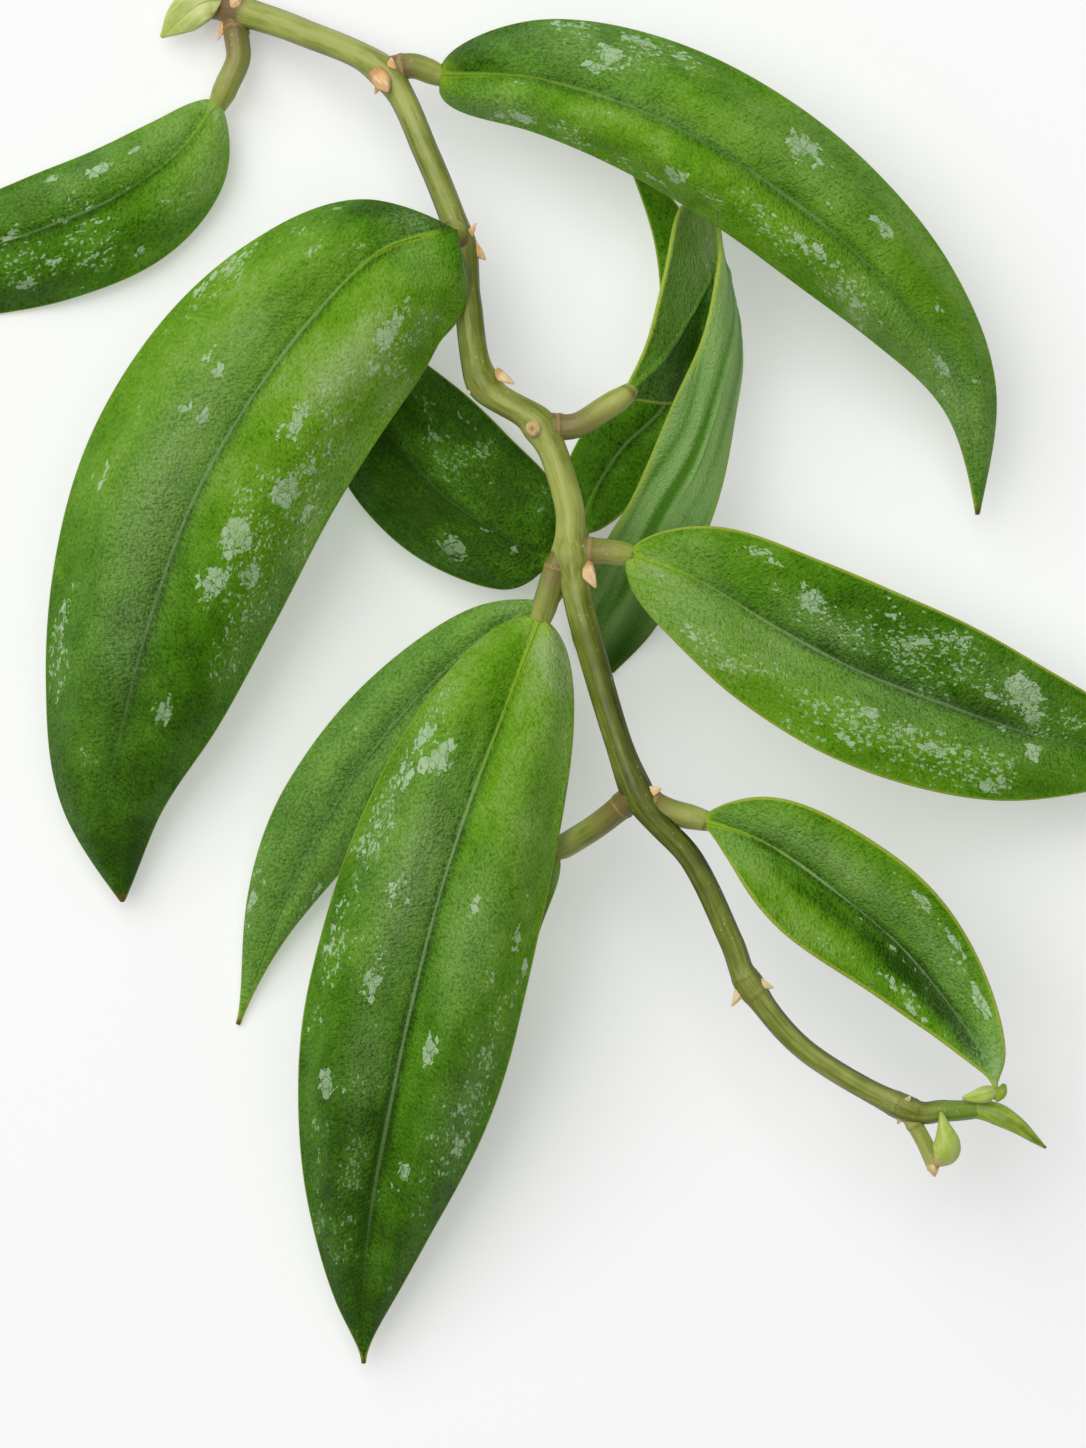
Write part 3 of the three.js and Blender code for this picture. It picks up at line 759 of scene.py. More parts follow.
CURLED_LEAF = {
    "stalk": [(8.5, 39.5, 21.5), (14, 39.5, 22), (18.5, 42, 24)],
    "left": [(21.6, 44.6, 25.6), (25.5, 53, 22), (28.5, 64.5, 17), (31, 75, 12.5), (36, 75.5, 10.5),
             (37.2, 69.3, 15.5), (36.5, 63.5, 24.5), (34, 53, 28.5), (29.5, 43, 27), (23.5, 29, 19),
             (18.5, 20.5, 11), (13.5, 9, 3.5), (15.5, 1, 0.5)],
    "rib": [(21.9, 44.2, 25.6), (27.5, 50, 20), (32.5, 58, 12), (36, 64.5, 7.5), (37.4, 66.5, 11),
            (38.8, 60.5, 17.5), (39, 54, 23.5), (37.5, 46.5, 26), (33.5, 33.5, 22), (28.5, 24, 15),
            (23, 12, 6), (19.5, 5, 1.5), (18, 0.5, 0.5)],
    "right": [(22, 43.6, 25.5), (29, 43, 20.5), (34.5, 44.5, 14.5), (38.5, 48, 11), (40.5, 52, 12),
              (40.5, 52.5, 15.5), (40.5, 48.5, 19.5), (39.5, 42, 21), (37.5, 30, 18), (33.5, 18.5, 11),
              (28, 9, 4), (24.5, 4.5, 1), (20.5, 0.5, 0.5)],
}
# Tones and shade spots hold each leaf's own green and also painted light and shade: a half that faces
# the light is brighter, and one in a fold or under other leaves is darker. Sheen spots are a painted
# grey highlight of the wax.
MARKS = {
    "leaf_left": {
        "tones": ((0.75, 0.95, 0.5, -0.05), (0.5, 0.85, 0.5, 0.0)),
        "rib": 0.7,
        "rib_start": 0.02,
        "tone_and_shade_spots": [
            (0.0, 0.3, 4, 5, -0.35), (0.27, 0.4, 9, 5, 0.3), (0.1, -0.75, 13, 5, -0.45),
            (0.3, -0.6, 12, 4, 0.15), (0.7, 0.3, 16, 8, -0.15),
        ],
        "painted_sheen": [
            (0.5, -0.25, 26, 6, 0.85), (0.33, -0.3, 9, 4, 0.6), (0.5, 0.88, 26, 3, 0.55),
            (0.06, -0.35, 5, 3, 0.5), (0.66, -0.2, 12, 5, 0.6), (0.08, 0.2, 6, 5, 0.35),
            (0.15, 0.75, 10, 3, 0.45),
        ],
        "flecks": [
            (0.2, 0.5, 5, 1.7), (0.13, 0.48, 3, 0.8, 0.55), (0.265, 0.57, 2.4, 1.2, 0.6),
            (0.375, 0.37, 3.6, 1.7, 0.8), (0.375, 0.65, 2.4, 1.2, 0.7),
            (0.415, 0.62, 2.4, 2.2, 0.85), (0.455, 0.56, 3, 2.5), (0.53, 0.4, 4, 2.6),
            (0.57, 0.58, 2.4, 2.3, 0.9), (0.595, 0.38, 3.2, 2.2), (0.75, 0.37, 3, 1.3, 0.85),
            (0.47, 0.8, 4, 1, 0.5), (0.62, 0.7, 2.4, 1, 0.6), (0.38, -0.3, 1.5, 1.2, 0.9),
            (0.365, -0.42, 2, 1, 0.6), (0.43, -0.22, 1.5, 0.8, 0.9), (0.432, -0.35, 1, 0.7),
            (0.525, -0.68, 3, 1, 0.6), (0.69, -0.78, 3.5, 1.6, 0.45), (0.29, -0.92, 6, 1.2, 0.55),
        ],
        "speckle": [
            (0.18, 0.72, 14, 4), (0.5, 0.6, 30, 7, 0.8), (0.3, -0.85, 12, 3),
            (0.7, -0.8, 12, 3, 0.8),
        ],
    },
    "leaf_front": {
        "tones": ((1.1, 0.75, 0.35, 0.0), (0.75, 0.6, 0.3, -0.1)),
        "rib": 0.8,
        "tone_and_shade_spots": [(0.03, 0.6, 8, 6, 0.35), (0.1, -0.8, 12, 4, 0.3), (0.7, -0.3, 16, 6, -0.15)],
        "painted_sheen": [
            (0.35, -0.3, 18, 5, 0.85), (0.4, 0.35, 13, 5, 0.6), (0.05, 0.65, 6, 4, 0.6),
            (0.3, -0.7, 14, 3, 0.55), (0.55, -0.3, 12, 4, 0.4), (0.25, 0.6, 12, 4, 0.35),
            (0.6, 0.6, 10, 4, 0.3),
        ],
        "flecks": [
            (0.215, -0.48, 3.2, 2.3), (0.19, -0.7, 2.6, 1.7, 0.8), (0.25, -0.66, 5, 0.8, 0.5),
            (0.24, -0.78, 4, 0.9, 0.55), (0.33, -0.78, 5, 1, 0.5), (0.43, -0.86, 8, 0.9, 0.5),
            (0.375, -0.38, 3, 2, 0.7), (0.48, -0.4, 4, 2.2, 0.72), (0.605, -0.63, 3.6, 2, 0.85),
            (0.37, 0.35, 2, 1.6, 0.6), (0.54, 0.27, 2.8, 1, 0.9), (0.395, 0.77, 3, 1, 0.75),
            (0.42, 0.92, 3, 0.8, 0.6), (0.6, 0.63, 2.8, 1, 0.7), (0.645, 0.78, 4, 2, 0.6),
            (0.7, 0.3, 3.4, 1.2, 0.75), (0.64, 0.45, 1.6, 1, 0.7), (0.85, 0.65, 1.5, 0.8, 0.7),
            (0.83, -0.75, 2, 1.4, 0.5),
        ],
        "speckle": [(0.32, -0.78, 26, 3), (0.6, 0.7, 24, 5, 0.8), (0.7, -0.5, 20, 6, 0.6)],
    },
    "leaf_upper_right": {
        "tones": ((0.4, 0.6, 0.75, 0.5), (0.7, 0.75, 0.75, 0.75)),
        "rib": 0.5,
        "tone_and_shade_spots": [
            (0.03, 0.6, 8, 8, -0.3), (0.35, 0.35, 10, 4, 0.15), (0.3, -0.3, 12, 4, 0.15),
            (0.6, -0.6, 14, 3, 0.15),
        ],
        "painted_sheen": [
            (0.2, 0.45, 12, 5, 0.5), (0.5, 0.4, 16, 5, 0.4), (0.85, -0.2, 14, 5, 0.7),
            (0.7, -0.4, 14, 4, 0.4), (0.1, -0.6, 8, 3, 0.5), (0.3, 0.1, 20, 2, 0.35),
        ],
        "flecks": [
            (0.225, 0.48, 3, 2.3), (0.21, 0.3, 2, 1), (0.25, 0.8, 4, 1.4, 0.7),
            (0.3, 0.78, 2.4, 1.4, 0.7), (0.17, 0.85, 4, 1.2, 0.6), (0.48, 0.53, 3.6, 2.2, 0.95),
            (0.615, 0.42, 2.4, 0.9, 0.95), (0.735, 0.38, 2, 0.8, 0.75), (0.84, 0.42, 1.2, 0.9, 0.7),
            (0.565, -0.35, 4, 1, 0.75), (0.66, -0.5, 4, 1, 0.75), (0.8, -0.15, 3, 1.3, 0.75),
            (0.36, -0.55, 3, 1.5, 0.85), (0.34, -0.8, 3, 0.9, 0.7), (0.12, -0.72, 5, 1.2, 0.65),
            (0.55, 0.22, 1.2, 0.7, 0.6),
        ],
        "speckle": [(0.25, 0.7, 16, 5, 0.7), (0.6, -0.5, 24, 4, 0.9), (0.2, -0.75, 16, 3, 0.7)],
    },
    "leaf_right": {
        "tones": ((0.85, 0.5, 0.45, 0.4), (0.95, 0.85, 0.6, 0.6)),
        "rib": 0.75,
        "tone_and_shade_spots": [
            (0.06, 0.05, 6, 3, 0.4), (0.45, 0.7, 16, 4, -0.15), (0.55, 0.14, 24, 2, -0.3),
            (0.6, -0.6, 14, 4, 0.1),
        ],
        "painted_sheen": [
            (0.15, -0.4, 10, 6, 0.75), (0.3, -0.25, 12, 4, 0.65), (0.35, 0.3, 10, 3, 0.5),
            (0.5, -0.2, 16, 4, 0.55), (0.1, 0.4, 6, 4, 0.4), (0.7, -0.2, 12, 4, 0.4),
            (0.68, 0.5, 8, 4, 0.35),
        ],
        "flecks": [
            (0.305, 0.53, 3, 2), (0.2, 0.78, 3.6, 1.6, 0.6), (0.43, 0.8, 3, 1.6, 0.5),
            (0.51, 0.6, 2, 1.3, 0.6), (0.49, 0.38, 4, 1.4, 0.5), (0.56, 0.78, 3.5, 1.8, 0.6),
            (0.7, 0.55, 3.8, 2.4), (0.725, 0.3, 2, 1.8, 0.85), (0.655, 0.35, 2.4, 1, 0.75),
            (0.47, -0.4, 3, 1.3, 0.6), (0.54, -0.45, 2.4, 1.2, 0.6), (0.59, -0.53, 3, 1.2, 0.75),
            (0.45, -0.72, 2.4, 1.4, 0.6), (0.69, -0.75, 3.6, 2, 0.75), (0.742, -0.28, 1.6, 2, 0.7),
            (0.68, -0.06, 1.2, 0.7, 0.9), (0.17, -0.7, 2.5, 1.2, 0.5), (0.8, 0.35, 2, 2, 0.55),
        ],
        "speckle": [(0.5, 0.5, 26, 5), (0.55, -0.6, 26, 5), (0.2, -0.7, 10, 3, 0.8)],
    },
    "leaf_lower_right": {
        "tones": ((0.7, 0.7, 0.65, 1.6), (0.85, 0.8, 0.5, 1.6)),
        "rib": 1.0,
        "dry_tip": 0.0,
        "tone_and_shade_spots": [
            (0.42, -0.28, 20, 1.8, -0.6), (0.72, -0.35, 11, 1.6, -0.6), (0.3, -0.65, 14, 3, 0.2),
            (0.65, -0.7, 9, 2, 0.25),
        ],
        "painted_sheen": [
            (0.3, 0.4, 20, 3, 0.65), (0.55, 0.45, 14, 3, 0.55), (0.1, -0.5, 6, 3, 0.5),
            (0.84, 0.45, 9, 4, 0.9),
        ],
        "flecks": [
            (0.46, 0.78, 3, 0.7, 0.9), (0.57, 0.78, 3, 0.6, 0.85), (0.71, 0.67, 4, 0.8, 0.95),
            (0.56, -0.62, 3, 1.2, 0.6), (0.5, -0.14, 6, 0.7, 0.5), (0.64, -0.8, 3, 0.9, 0.6),
        ],
        "speckle": [(0.5, 0.7, 14, 3, 0.6), (0.5, -0.6, 12, 3, 0.5)],
    },
    "leaf_upper_left": {
        "tones": ((1.3, 0.5, 0.2, 0.35), (1.2, 0.55, 0.25, 0.3)),
        "rib": 0.4,
        "painted_sheen": [
            (0.15, -0.4, 12, 3, 0.6), (0.15, 0.6, 12, 5, 0.4), (0.03, 0.6, 3, 4, 0.8),
            (0.4, -0.5, 14, 3, 0.35),
        ],
        "flecks": [
            (0.35, -0.5, 3.2, 1, 0.9), (0.25, -0.5, 1.6, 0.7, 0.9), (0.35, 0.73, 1.2, 1, 0.8),
            (0.5, 0.4, 1.5, 1.2, 0.6), (0.55, 0.6, 2, 1.4, 0.6), (0.55, -0.12, 2, 1.4, 0.8),
            (0.45, -0.7, 2.5, 1, 0.6),
        ],
        "speckle": [(0.45, 0.4, 16, 6, 0.7)],
    },
    "leaf_middle_left": {
        # Its low tones paint the shade that the leaves above cast on it.
        "tones": ((0.15, 0.05, 0.1, 0.3), (0.15, 0.1, 0.2, 0.35)),
        "rib": 0.1,
        "flecks": [
            (0.335, 0.55, 2, 1.8, 0.85), (0.22, 0.15, 1, 1, 0.7), (0.3, 0.08, 1, 0.8, 0.7),
            (0.42, -0.65, 4, 1.2, 0.55), (0.53, -0.4, 2.4, 0.8, 0.6), (0.5, -0.75, 4, 0.7, 0.6),
        ],
        "speckle": [(0.45, -0.5, 14, 5, 0.6)],
    },
    "leaf_lower_left": {
        "tones": ((1, 0.75, 0.65, 0.75), (0.85, 0.6, 0.55, 0.75)),
        "rib": 0.25,
        "painted_sheen": [(0.5, 0.0, 60, 12, 0.5), (0.08, -0.6, 8, 5, 0.75)],
        "flecks": [(0.75, 0.8, 4, 1.2, 0.5), (0.8, -0.75, 3, 1, 0.5)],
        "speckle": [(0.8, -0.7, 10, 3, 0.6)],
    },
    "leaf_back": {
        "tones": ((0.4, 0.45, 0.5, 0.6), (0.35, 0.4, 0.5, 0.6)),
        "rib": 0.4,
    },
    "leaf_hidden": {
        "tones": ((1.2, 0.5, 0.4, 0.3), (1.2, 0.5, 0.4, 0.3)),
        "rib": 0.5,
        "flecks": [(0.5, 0.4, 3, 1.4, 0.8)],
    },
    "leaf_curled": {
        # Painted light and shade: a pale sheen where the curled leaf turns at the top, dark in its
        # fold and at its end in another leaf's shadow.
        "tones": ((0.5, 1.0, 1.4, 0.8, 0.4, 0.1, -0.6), (0.0, 0.2, 0.8, 0.5, 0.3, -0.2, -0.8)),
        "rib": 0.1,
        "painted_sheen": [(0.2, 0.4, 14, 6, 0.8), (0.3, 0.0, 12, 8, 0.8)],
        "flecks": [(0.3, 0.4, 3, 1.2, 0.7)],
    },
}

for number, (name, leaf) in enumerate(LEAVES.items()):
    mesh, length = leaf_mesh(
        name, lambda u, v: flat_leaf(leaf, u, v), LEAF_ROWS, LEAF_COLUMNS, MARKS[name], number
    )
    add_piece(name + "_blade", mesh, waxy_leaf, "leaf", name)
    print(name, "length in mm:", round(length, 1))

CURLED_ROWS = 240
mesh, length = leaf_mesh(
    "leaf_curled",
    lambda u, v: curled_leaf(CURLED_LEAF, u, v),
    CURLED_ROWS,
    LEAF_COLUMNS,
    MARKS["leaf_curled"],
    len(LEAVES),
)
add_piece("leaf_curled_blade", mesh, waxy_leaf, "leaf", "leaf_curled")
print("leaf_curled length in mm:", round(length, 1))

# %% [markdown]
# ## The vine and the stalks
# The vine is a round olive stem with stripes and low ridges along it, and thicker at its nodes.
# Its tone holds painted light and shade: paler on top, darker at the sides and below. The young
# nodes have two thin tan scars round them. A stalk is shorter and browner: it leaves the vine from
# a ridge, gets lighter towards its blade and ends there in a dark ring.
# Both are a ring carried along a path, and the ring's radius changes with the place on the path.
# The scars are narrower than the rings are apart, so the points carry their distance to the scar
# and the finish draws the line.

# %% Stem finish
STEM_TONES = [colour(code) for code in ("2f3802", "6e7a20", "a6ae56")]
STEM_GREEN = colour("688a16")
STEM_BROWN = colour("765a3c")
SCAR_TAN = colour("b18c58")
DOT_PALE = colour("bfbe90")
STEM_SHINE = 0.4
STEM_RELIEF = 0.16


def stem_finish():
    """Olive green with lengthwise stripes, pale dots, brown and fresh green parts and thin rings."""
    material, shader, wire = new_finish("green_stem")
    millimetres = attribute(wire, "stem_mm")
    brown, tone, from_scar = parts_of(attribute(wire, "stem_marks"))
    stripes = noise(stretched(millimetres, 0.02, 1.0, 1.0), 0.5, 1.0)
    streaks = noise(stretched(millimetres, 0.07, 1.0, 1.0), 1.8, 3.0, 0.6)
    clouds = noise(millimetres, 0.2, 3.0)
    tone = tone + (stripes - 0.5) * 0.9 + (streaks - 0.5) * 0.9 + (clouds - 0.5) * 0.7
    hue = toned(tone, STEM_TONES, TONE_STEP)
    brownness = brown + (clouds - 0.5) * 0.7 + (streaks - 0.5) * 0.7
    hue = blend(ramp(brownness, 0.25, 0.85) * 0.9, hue, STEM_BROWN)
    hue = blend(ramp(brown, -0.1, -0.6) * 0.8, hue, STEM_GREEN)
    cells = millimetres.node("ShaderNodeTexVoronoi", {}, {"Vector": millimetres, "Scale": 0.9})
    dots = ramp(cells, 0.2, 0.1) * ramp(clouds, 0.45, 0.6)
    hue = blend(dots * 0.45, hue, DOT_PALE)
    scar = ramp(abs(from_scar + (clouds - 0.5) * 1.6 + (streaks - 0.5) * 1.2), 0.5, 0.1)
    ringed = ramp(brown, 0.2, 0.6) * 0.45 + 0.1
    hue = blend(scar * ringed, hue, SCAR_TAN)
    grain = noise(stretched(millimetres, 0.25, 1.0, 1.0), 2.4, 3.0, 0.6)
    height = streaks * 0.5 + grain * 0.3 + scar * 0.4
    connect(
        shader,
        Base_Color=hue,
        Roughness=0.36 + ramp(grain, 0.3, 0.7) * 0.16 + scar * 0.15,
        Normal=bump(height, STEM_RELIEF),
    )
    shader.inputs["Specular IOR Level"].default_value = STEM_SHINE
    return material


green_stem = stem_finish()
print("nodes in the stem finish:", len(green_stem.node_tree.nodes))

# %% The vine
STEM_PATH = [
    (-47.5, 108.6, 2.5), (-44.5, 108.5, 3.5), (-41, 107.6, 4.5), (-30, 103.5, 9.5), (-16.5, 96.5, 14),
    (-9.5, 83, 16.5), (-4, 68.5, 17.5), (-3, 59.5, 19), (-0.5, 46.5, 20.5), (8.5, 39.5, 21.5),
    (13, 27.5, 23.5), (13.5, 18.5, 25), (16.1, 5.5, 27), (23.7, -18.4, 31), (32.5, -29.5, 31.5),
    (38.5, -42, 31), (41.5, -49, 30.5), (50.5, -59.5, 29.5), (66, -68.5, 28.5), (72.5, -69, 28),
    (79, -68.7, 28),
]
VINE_TONES = [
    0.5, 0.5, 0.7, 0.85, 0.75, 0.55, 0.45, 0.4, 0.5, 0.75,
    0.95, 0.8, 0.4, 0.2, 0.1, 0.3, 0.45, 0.5, 0.45, 0.35, 0.4,
]
VINE_RADII = [
    2.4, 2.4, 2.4, 2.2, 2.1, 2.05, 2.1, 2.2, 2.25, 2.25,
    2.3, 2.4, 2.25, 2.0, 1.9, 1.9, 1.9, 1.75, 1.75, 1.7, 1.35,
]
SWELLINGS = [2, 4, 6, 8, 9, 11, 13, 16, 18]
SWELLING_HEIGHTS = [0.5, 0.5, 0.4, 0.5, 0.6, 1.0, 0.6, 0.45, 0.4]
RINGED_NODES = [16, 18]
NODE_LENGTH = 0.22
SCAR_PLACE = 1.7
SCAR_RIDGE = 0.06
SCAR_WIDTH = 0.4
STEM_STEPS = 900
STEM_SIDES = 40
STEM_RIDGES = 5
RIDGE_HEIGHT = 0.08
RIDGE_TWIST = 30.0
OLD_PLACE = 2
OLD_LENGTH = 0.25
YOUNG_PLACE = 18.0
YOUNG_LENGTH = 1.5
NODE_BROWN = 0.3
OLD_BROWN = 0.9
YOUNG_BROWN = -0.7
SHADE_SIDE = 0.5
SHADE_START = 0.6
SHADE_MOST = -0.7


def tube_grids(path, sides):
    """For a path's tube: the turn of each point round it, and the distance along it."""
    turn = np.linspace(0, 2 * np.pi, sides, endpoint=False)
    return np.meshgrid(turn, path_length(path))


def tube_mesh(name, path, radius, marks, offset, reference=(0.0, 0.0, 1.0)):
    """A tube with its finish's values: the place along and round it, and the marks at each ring."""
    turn, along = tube_grids(path, radius.shape[1])
    round_trip = np.stack([along + offset, radius * np.cos(turn), radius * np.sin(turn)], axis=-1)
    spread = [np.broadcast_to(mark, turn.shape) for mark in marks]
    stored = {"stem_mm": round_trip, "stem_marks": np.stack(spread, axis=-1)}
    return skin(name, tube_rings(path, radius, turn, reference), stored)


def hump(distance, width):
    """A soft hump: exp(-(distance / width)^2)."""
    return np.exp(-((distance / width) ** 2))


place = np.linspace(0, 1, STEM_STEPS + 1)
vine_path = smooth_path(STEM_PATH, place)
turn, along = tube_grids(vine_path, STEM_SIDES)
point_place = place * (len(STEM_PATH) - 1)
humps = hump(point_place[:, None] - np.array(SWELLINGS), NODE_LENGTH)
at_nodes = humps.sum(axis=1)[:, None]
node_along = np.interp(RINGED_NODES, point_place, along[:, 0])
from_node = np.abs(along[:, :1] - node_along).min(axis=1)[:, None]
even = smooth_path([[radius] for radius in VINE_RADII], place)
ridges = RIDGE_HEIGHT * np.cos(STEM_RIDGES * turn + along / RIDGE_TWIST)
scars = SCAR_RIDGE * hump(from_node - SCAR_PLACE, SCAR_WIDTH)
vine_radius = even + (humps @ SWELLING_HEIGHTS)[:, None] + ridges + scars
old_end = hump(np.maximum(point_place - OLD_PLACE, 0), OLD_LENGTH)[:, None]
young_end = np.clip((point_place - YOUNG_PLACE) / YOUNG_LENGTH, 0, 1)[:, None]
vine_brown = NODE_BROWN * at_nodes + OLD_BROWN * old_end + YOUNG_BROWN * young_end
vine_tone_and_shade = np.interp(point_place, np.arange(len(STEM_PATH)), VINE_TONES)[:, None]
# Painted shade: darker at the sides and below, lighter on top.
vine_tone_and_shade = vine_tone_and_shade + SHADE_SIDE * np.maximum(np.sin(turn) - SHADE_START, SHADE_MOST)
marks = (vine_brown, vine_tone_and_shade, from_node - SCAR_PLACE)
mesh = tube_mesh("vine", vine_path, vine_radius, marks, 0.0)
add_piece("vine", mesh, green_stem, "stem", "stem")
print("vine length in mm:", round(along[-1, 0], 1))

# %% The stalks
STALK_RADIUS = 2.0
STALK_END_RADIUS = 0.5
STALK_RUN = [(0.0, 0.8), (2.5, 1.4), (5.0, 1.0)]
STALK_STEPS = 120
STALK_SIDES = 32
FLARE = 0.3
FLARE_LENGTH = 3.5
LEAVING = 3.1
LEAVING_RIDGE = 0.13
LEAVING_WIDTH = 0.4
NARROWING_LEAD = 0.1
STALK_EDGES = 3
STALK_EDGE_HEIGHT = 0.025
STALK_BROWN = (0.75, -0.55)
STALK_TONE = (0.6, 0.35)
UNDERSIDE_BROWN = 0.25
JOINT_DARK = 0.3
JOINT_PLACE = 0.5
JOINT_WIDTH = 0.3
STALK_PATTERN = 500.0
TUBE_PATTERN_STEP = 60


def stalk_mesh(name, leaf, offset):
    """A stalk from the vine to under the first part of the midrib: its radius is even, with a flare
    and a ridge where it leaves the vine, and shrinks in a straight line under the blade."""
    sunk = leaf.get("stalk_sunk", 0.0)
    place = np.linspace(0, 1, STALK_STEPS + 1)
    rib_along = path_length(smooth_path(leaf["rib"], place))
    run_on = [
        smooth_path(leaf["rib"], np.interp(run, rib_along, place)) - (0, 0, drop + sunk)
        for run, drop in STALK_RUN
    ]
    points = [*leaf["stalk"], *run_on]
    path = smooth_path(points, place)
    along = path_length(path)
    blade_start = len(leaf["stalk"]) / (len(points) - 1)
    blade_along = np.interp(blade_start, place, along)
    narrowing_start = blade_start - NARROWING_LEAD
    under = np.clip((place - narrowing_start) / (1 - narrowing_start), 0, 1)
    even = leaf.get("stalk_radius", STALK_RADIUS)
    radius = even + (STALK_END_RADIUS - even) * under
    leaving = leaf.get("leaving", LEAVING)
    radius += FLARE * hump(along, FLARE_LENGTH)
    radius += LEAVING_RIDGE * hump(along - leaving, LEAVING_WIDTH)
    turn = np.linspace(0, 2 * np.pi, STALK_SIDES, endpoint=False)
    rings = radius[:, None] * (1 + STALK_EDGE_HEIGHT * np.cos(STALK_EDGES * turn))
    to_blade = np.clip(along / blade_along, 0, 1)
    from_joint = along - blade_along - JOINT_PLACE
    dark_ring = leaf.get("joint", JOINT_DARK) * hump(from_joint, JOINT_WIDTH)
    underside = UNDERSIDE_BROWN * np.clip(-np.sin(turn), 0, 1)
    brown = (STALK_BROWN[0] + STALK_BROWN[1] * to_blade + dark_ring)[:, None] + underside
    tone = (STALK_TONE[0] + STALK_TONE[1] * to_blade - dark_ring)[:, None]
    return tube_mesh(name, path, rings, (brown, tone, (along - leaving)[:, None]), offset)


for number, (name, leaf) in enumerate([*LEAVES.items(), ("leaf_curled", CURLED_LEAF)]):
    mesh = stalk_mesh(name + "_stalk", leaf, STALK_PATTERN + TUBE_PATTERN_STEP * number)
    add_piece(name + "_stalk", mesh, green_stem, "stem", name)
print("stalks:", len(LEAVES) + 1)

# %% Side shoots
SIDE_SHOOTS = {
    "hidden_shoot": ([(13.5, 18.5, 25), (13.4, 22, 20.5), (13.2, 21, 14.5), (13, 17, 9)], 1.9, 0.4),
    "bud_shoot": ([(66, -68.5, 28.5), (69, -73.5, 28), (71, -78, 27.5)], 1.3, 0.85),
}
SHOOT_STEPS = 80
SHOOT_BROWN = 0.3
SHOOT_BROWN_LENGTH = 1.5
SHOOT_PATTERN = 1500.0
SIDEWAYS = (1.0, 0.0, 0.0)

for number, (name, (points, radius, tone)) in enumerate(SIDE_SHOOTS.items()):
    path = smooth_path(points, np.linspace(0, 1, SHOOT_STEPS + 1))
    along = path_length(path)[:, None]
    rings = radius + LEAVING_RIDGE * hump(along - LEAVING, LEAVING_WIDTH) + np.zeros(STALK_SIDES)
    marks = (SHOOT_BROWN * hump(along - LEAVING, SHOOT_BROWN_LENGTH), tone, along - LEAVING)
    offset = SHOOT_PATTERN + TUBE_PATTERN_STEP * number
    mesh = tube_mesh(name, path, rings, marks, offset, SIDEWAYS)
    add_piece(name, mesh, green_stem, "stem", "stem")
print("side shoots:", len(SIDE_SHOOTS))

# %% [markdown]
# ## Papery scales
# At each node sit dry scales, the remains of stipules and buds: flat pointed ones, plump beads and
# one round scar. The flat ones and the beads are ellipses carried from root to tip. The scar is
# a profile turned round its axis, because its middle is sunk. All are dry and fibrous, orange on
# the old nodes and more olive towards the growing end.

# %% Scale finish
SCALE_HUES = [colour(code) for code in ("e8a85c", "ecca92", "b6ac5e")]
SCALE_PALE = colour("fae8c4")
SCALE_DARK = colour("96622c")


def scale_finish():
    """Dry tan paper with fibres along it, dark at its foot and in sunk parts."""
    material, shader, wire = new_finish("papery_scale")
    millimetres = attribute(wire, "stem_mm")
    hue, place, sunk = parts_of(attribute(wire, "stem_marks"))
    fibres = noise(stretched(millimetres, 0.3, 1.0, 1.0), 2.2, 3.0, 0.7)
    clouds = noise(millimetres, 0.7, 2.0)
    tone = toned(hue + (clouds - 0.5) * 0.7, SCALE_HUES, TONE_STEP)
    tone = blend(ramp(fibres + place * 0.12, 0.52, 0.75) * 0.7, tone, SCALE_PALE)
    dark = ramp(place + (fibres - 0.5) * 0.3, 0.38, 0.15) * 0.5 + sunk
    tone = blend(dark, tone, SCALE_DARK)
    connect(shader, Base_Color=tone, Roughness=0.5 + fibres * 0.25, Normal=bump(fibres, 0.2))
    return material


papery_scale = scale_finish()
print("nodes in the scale finish:", len(papery_scale.node_tree.nodes))

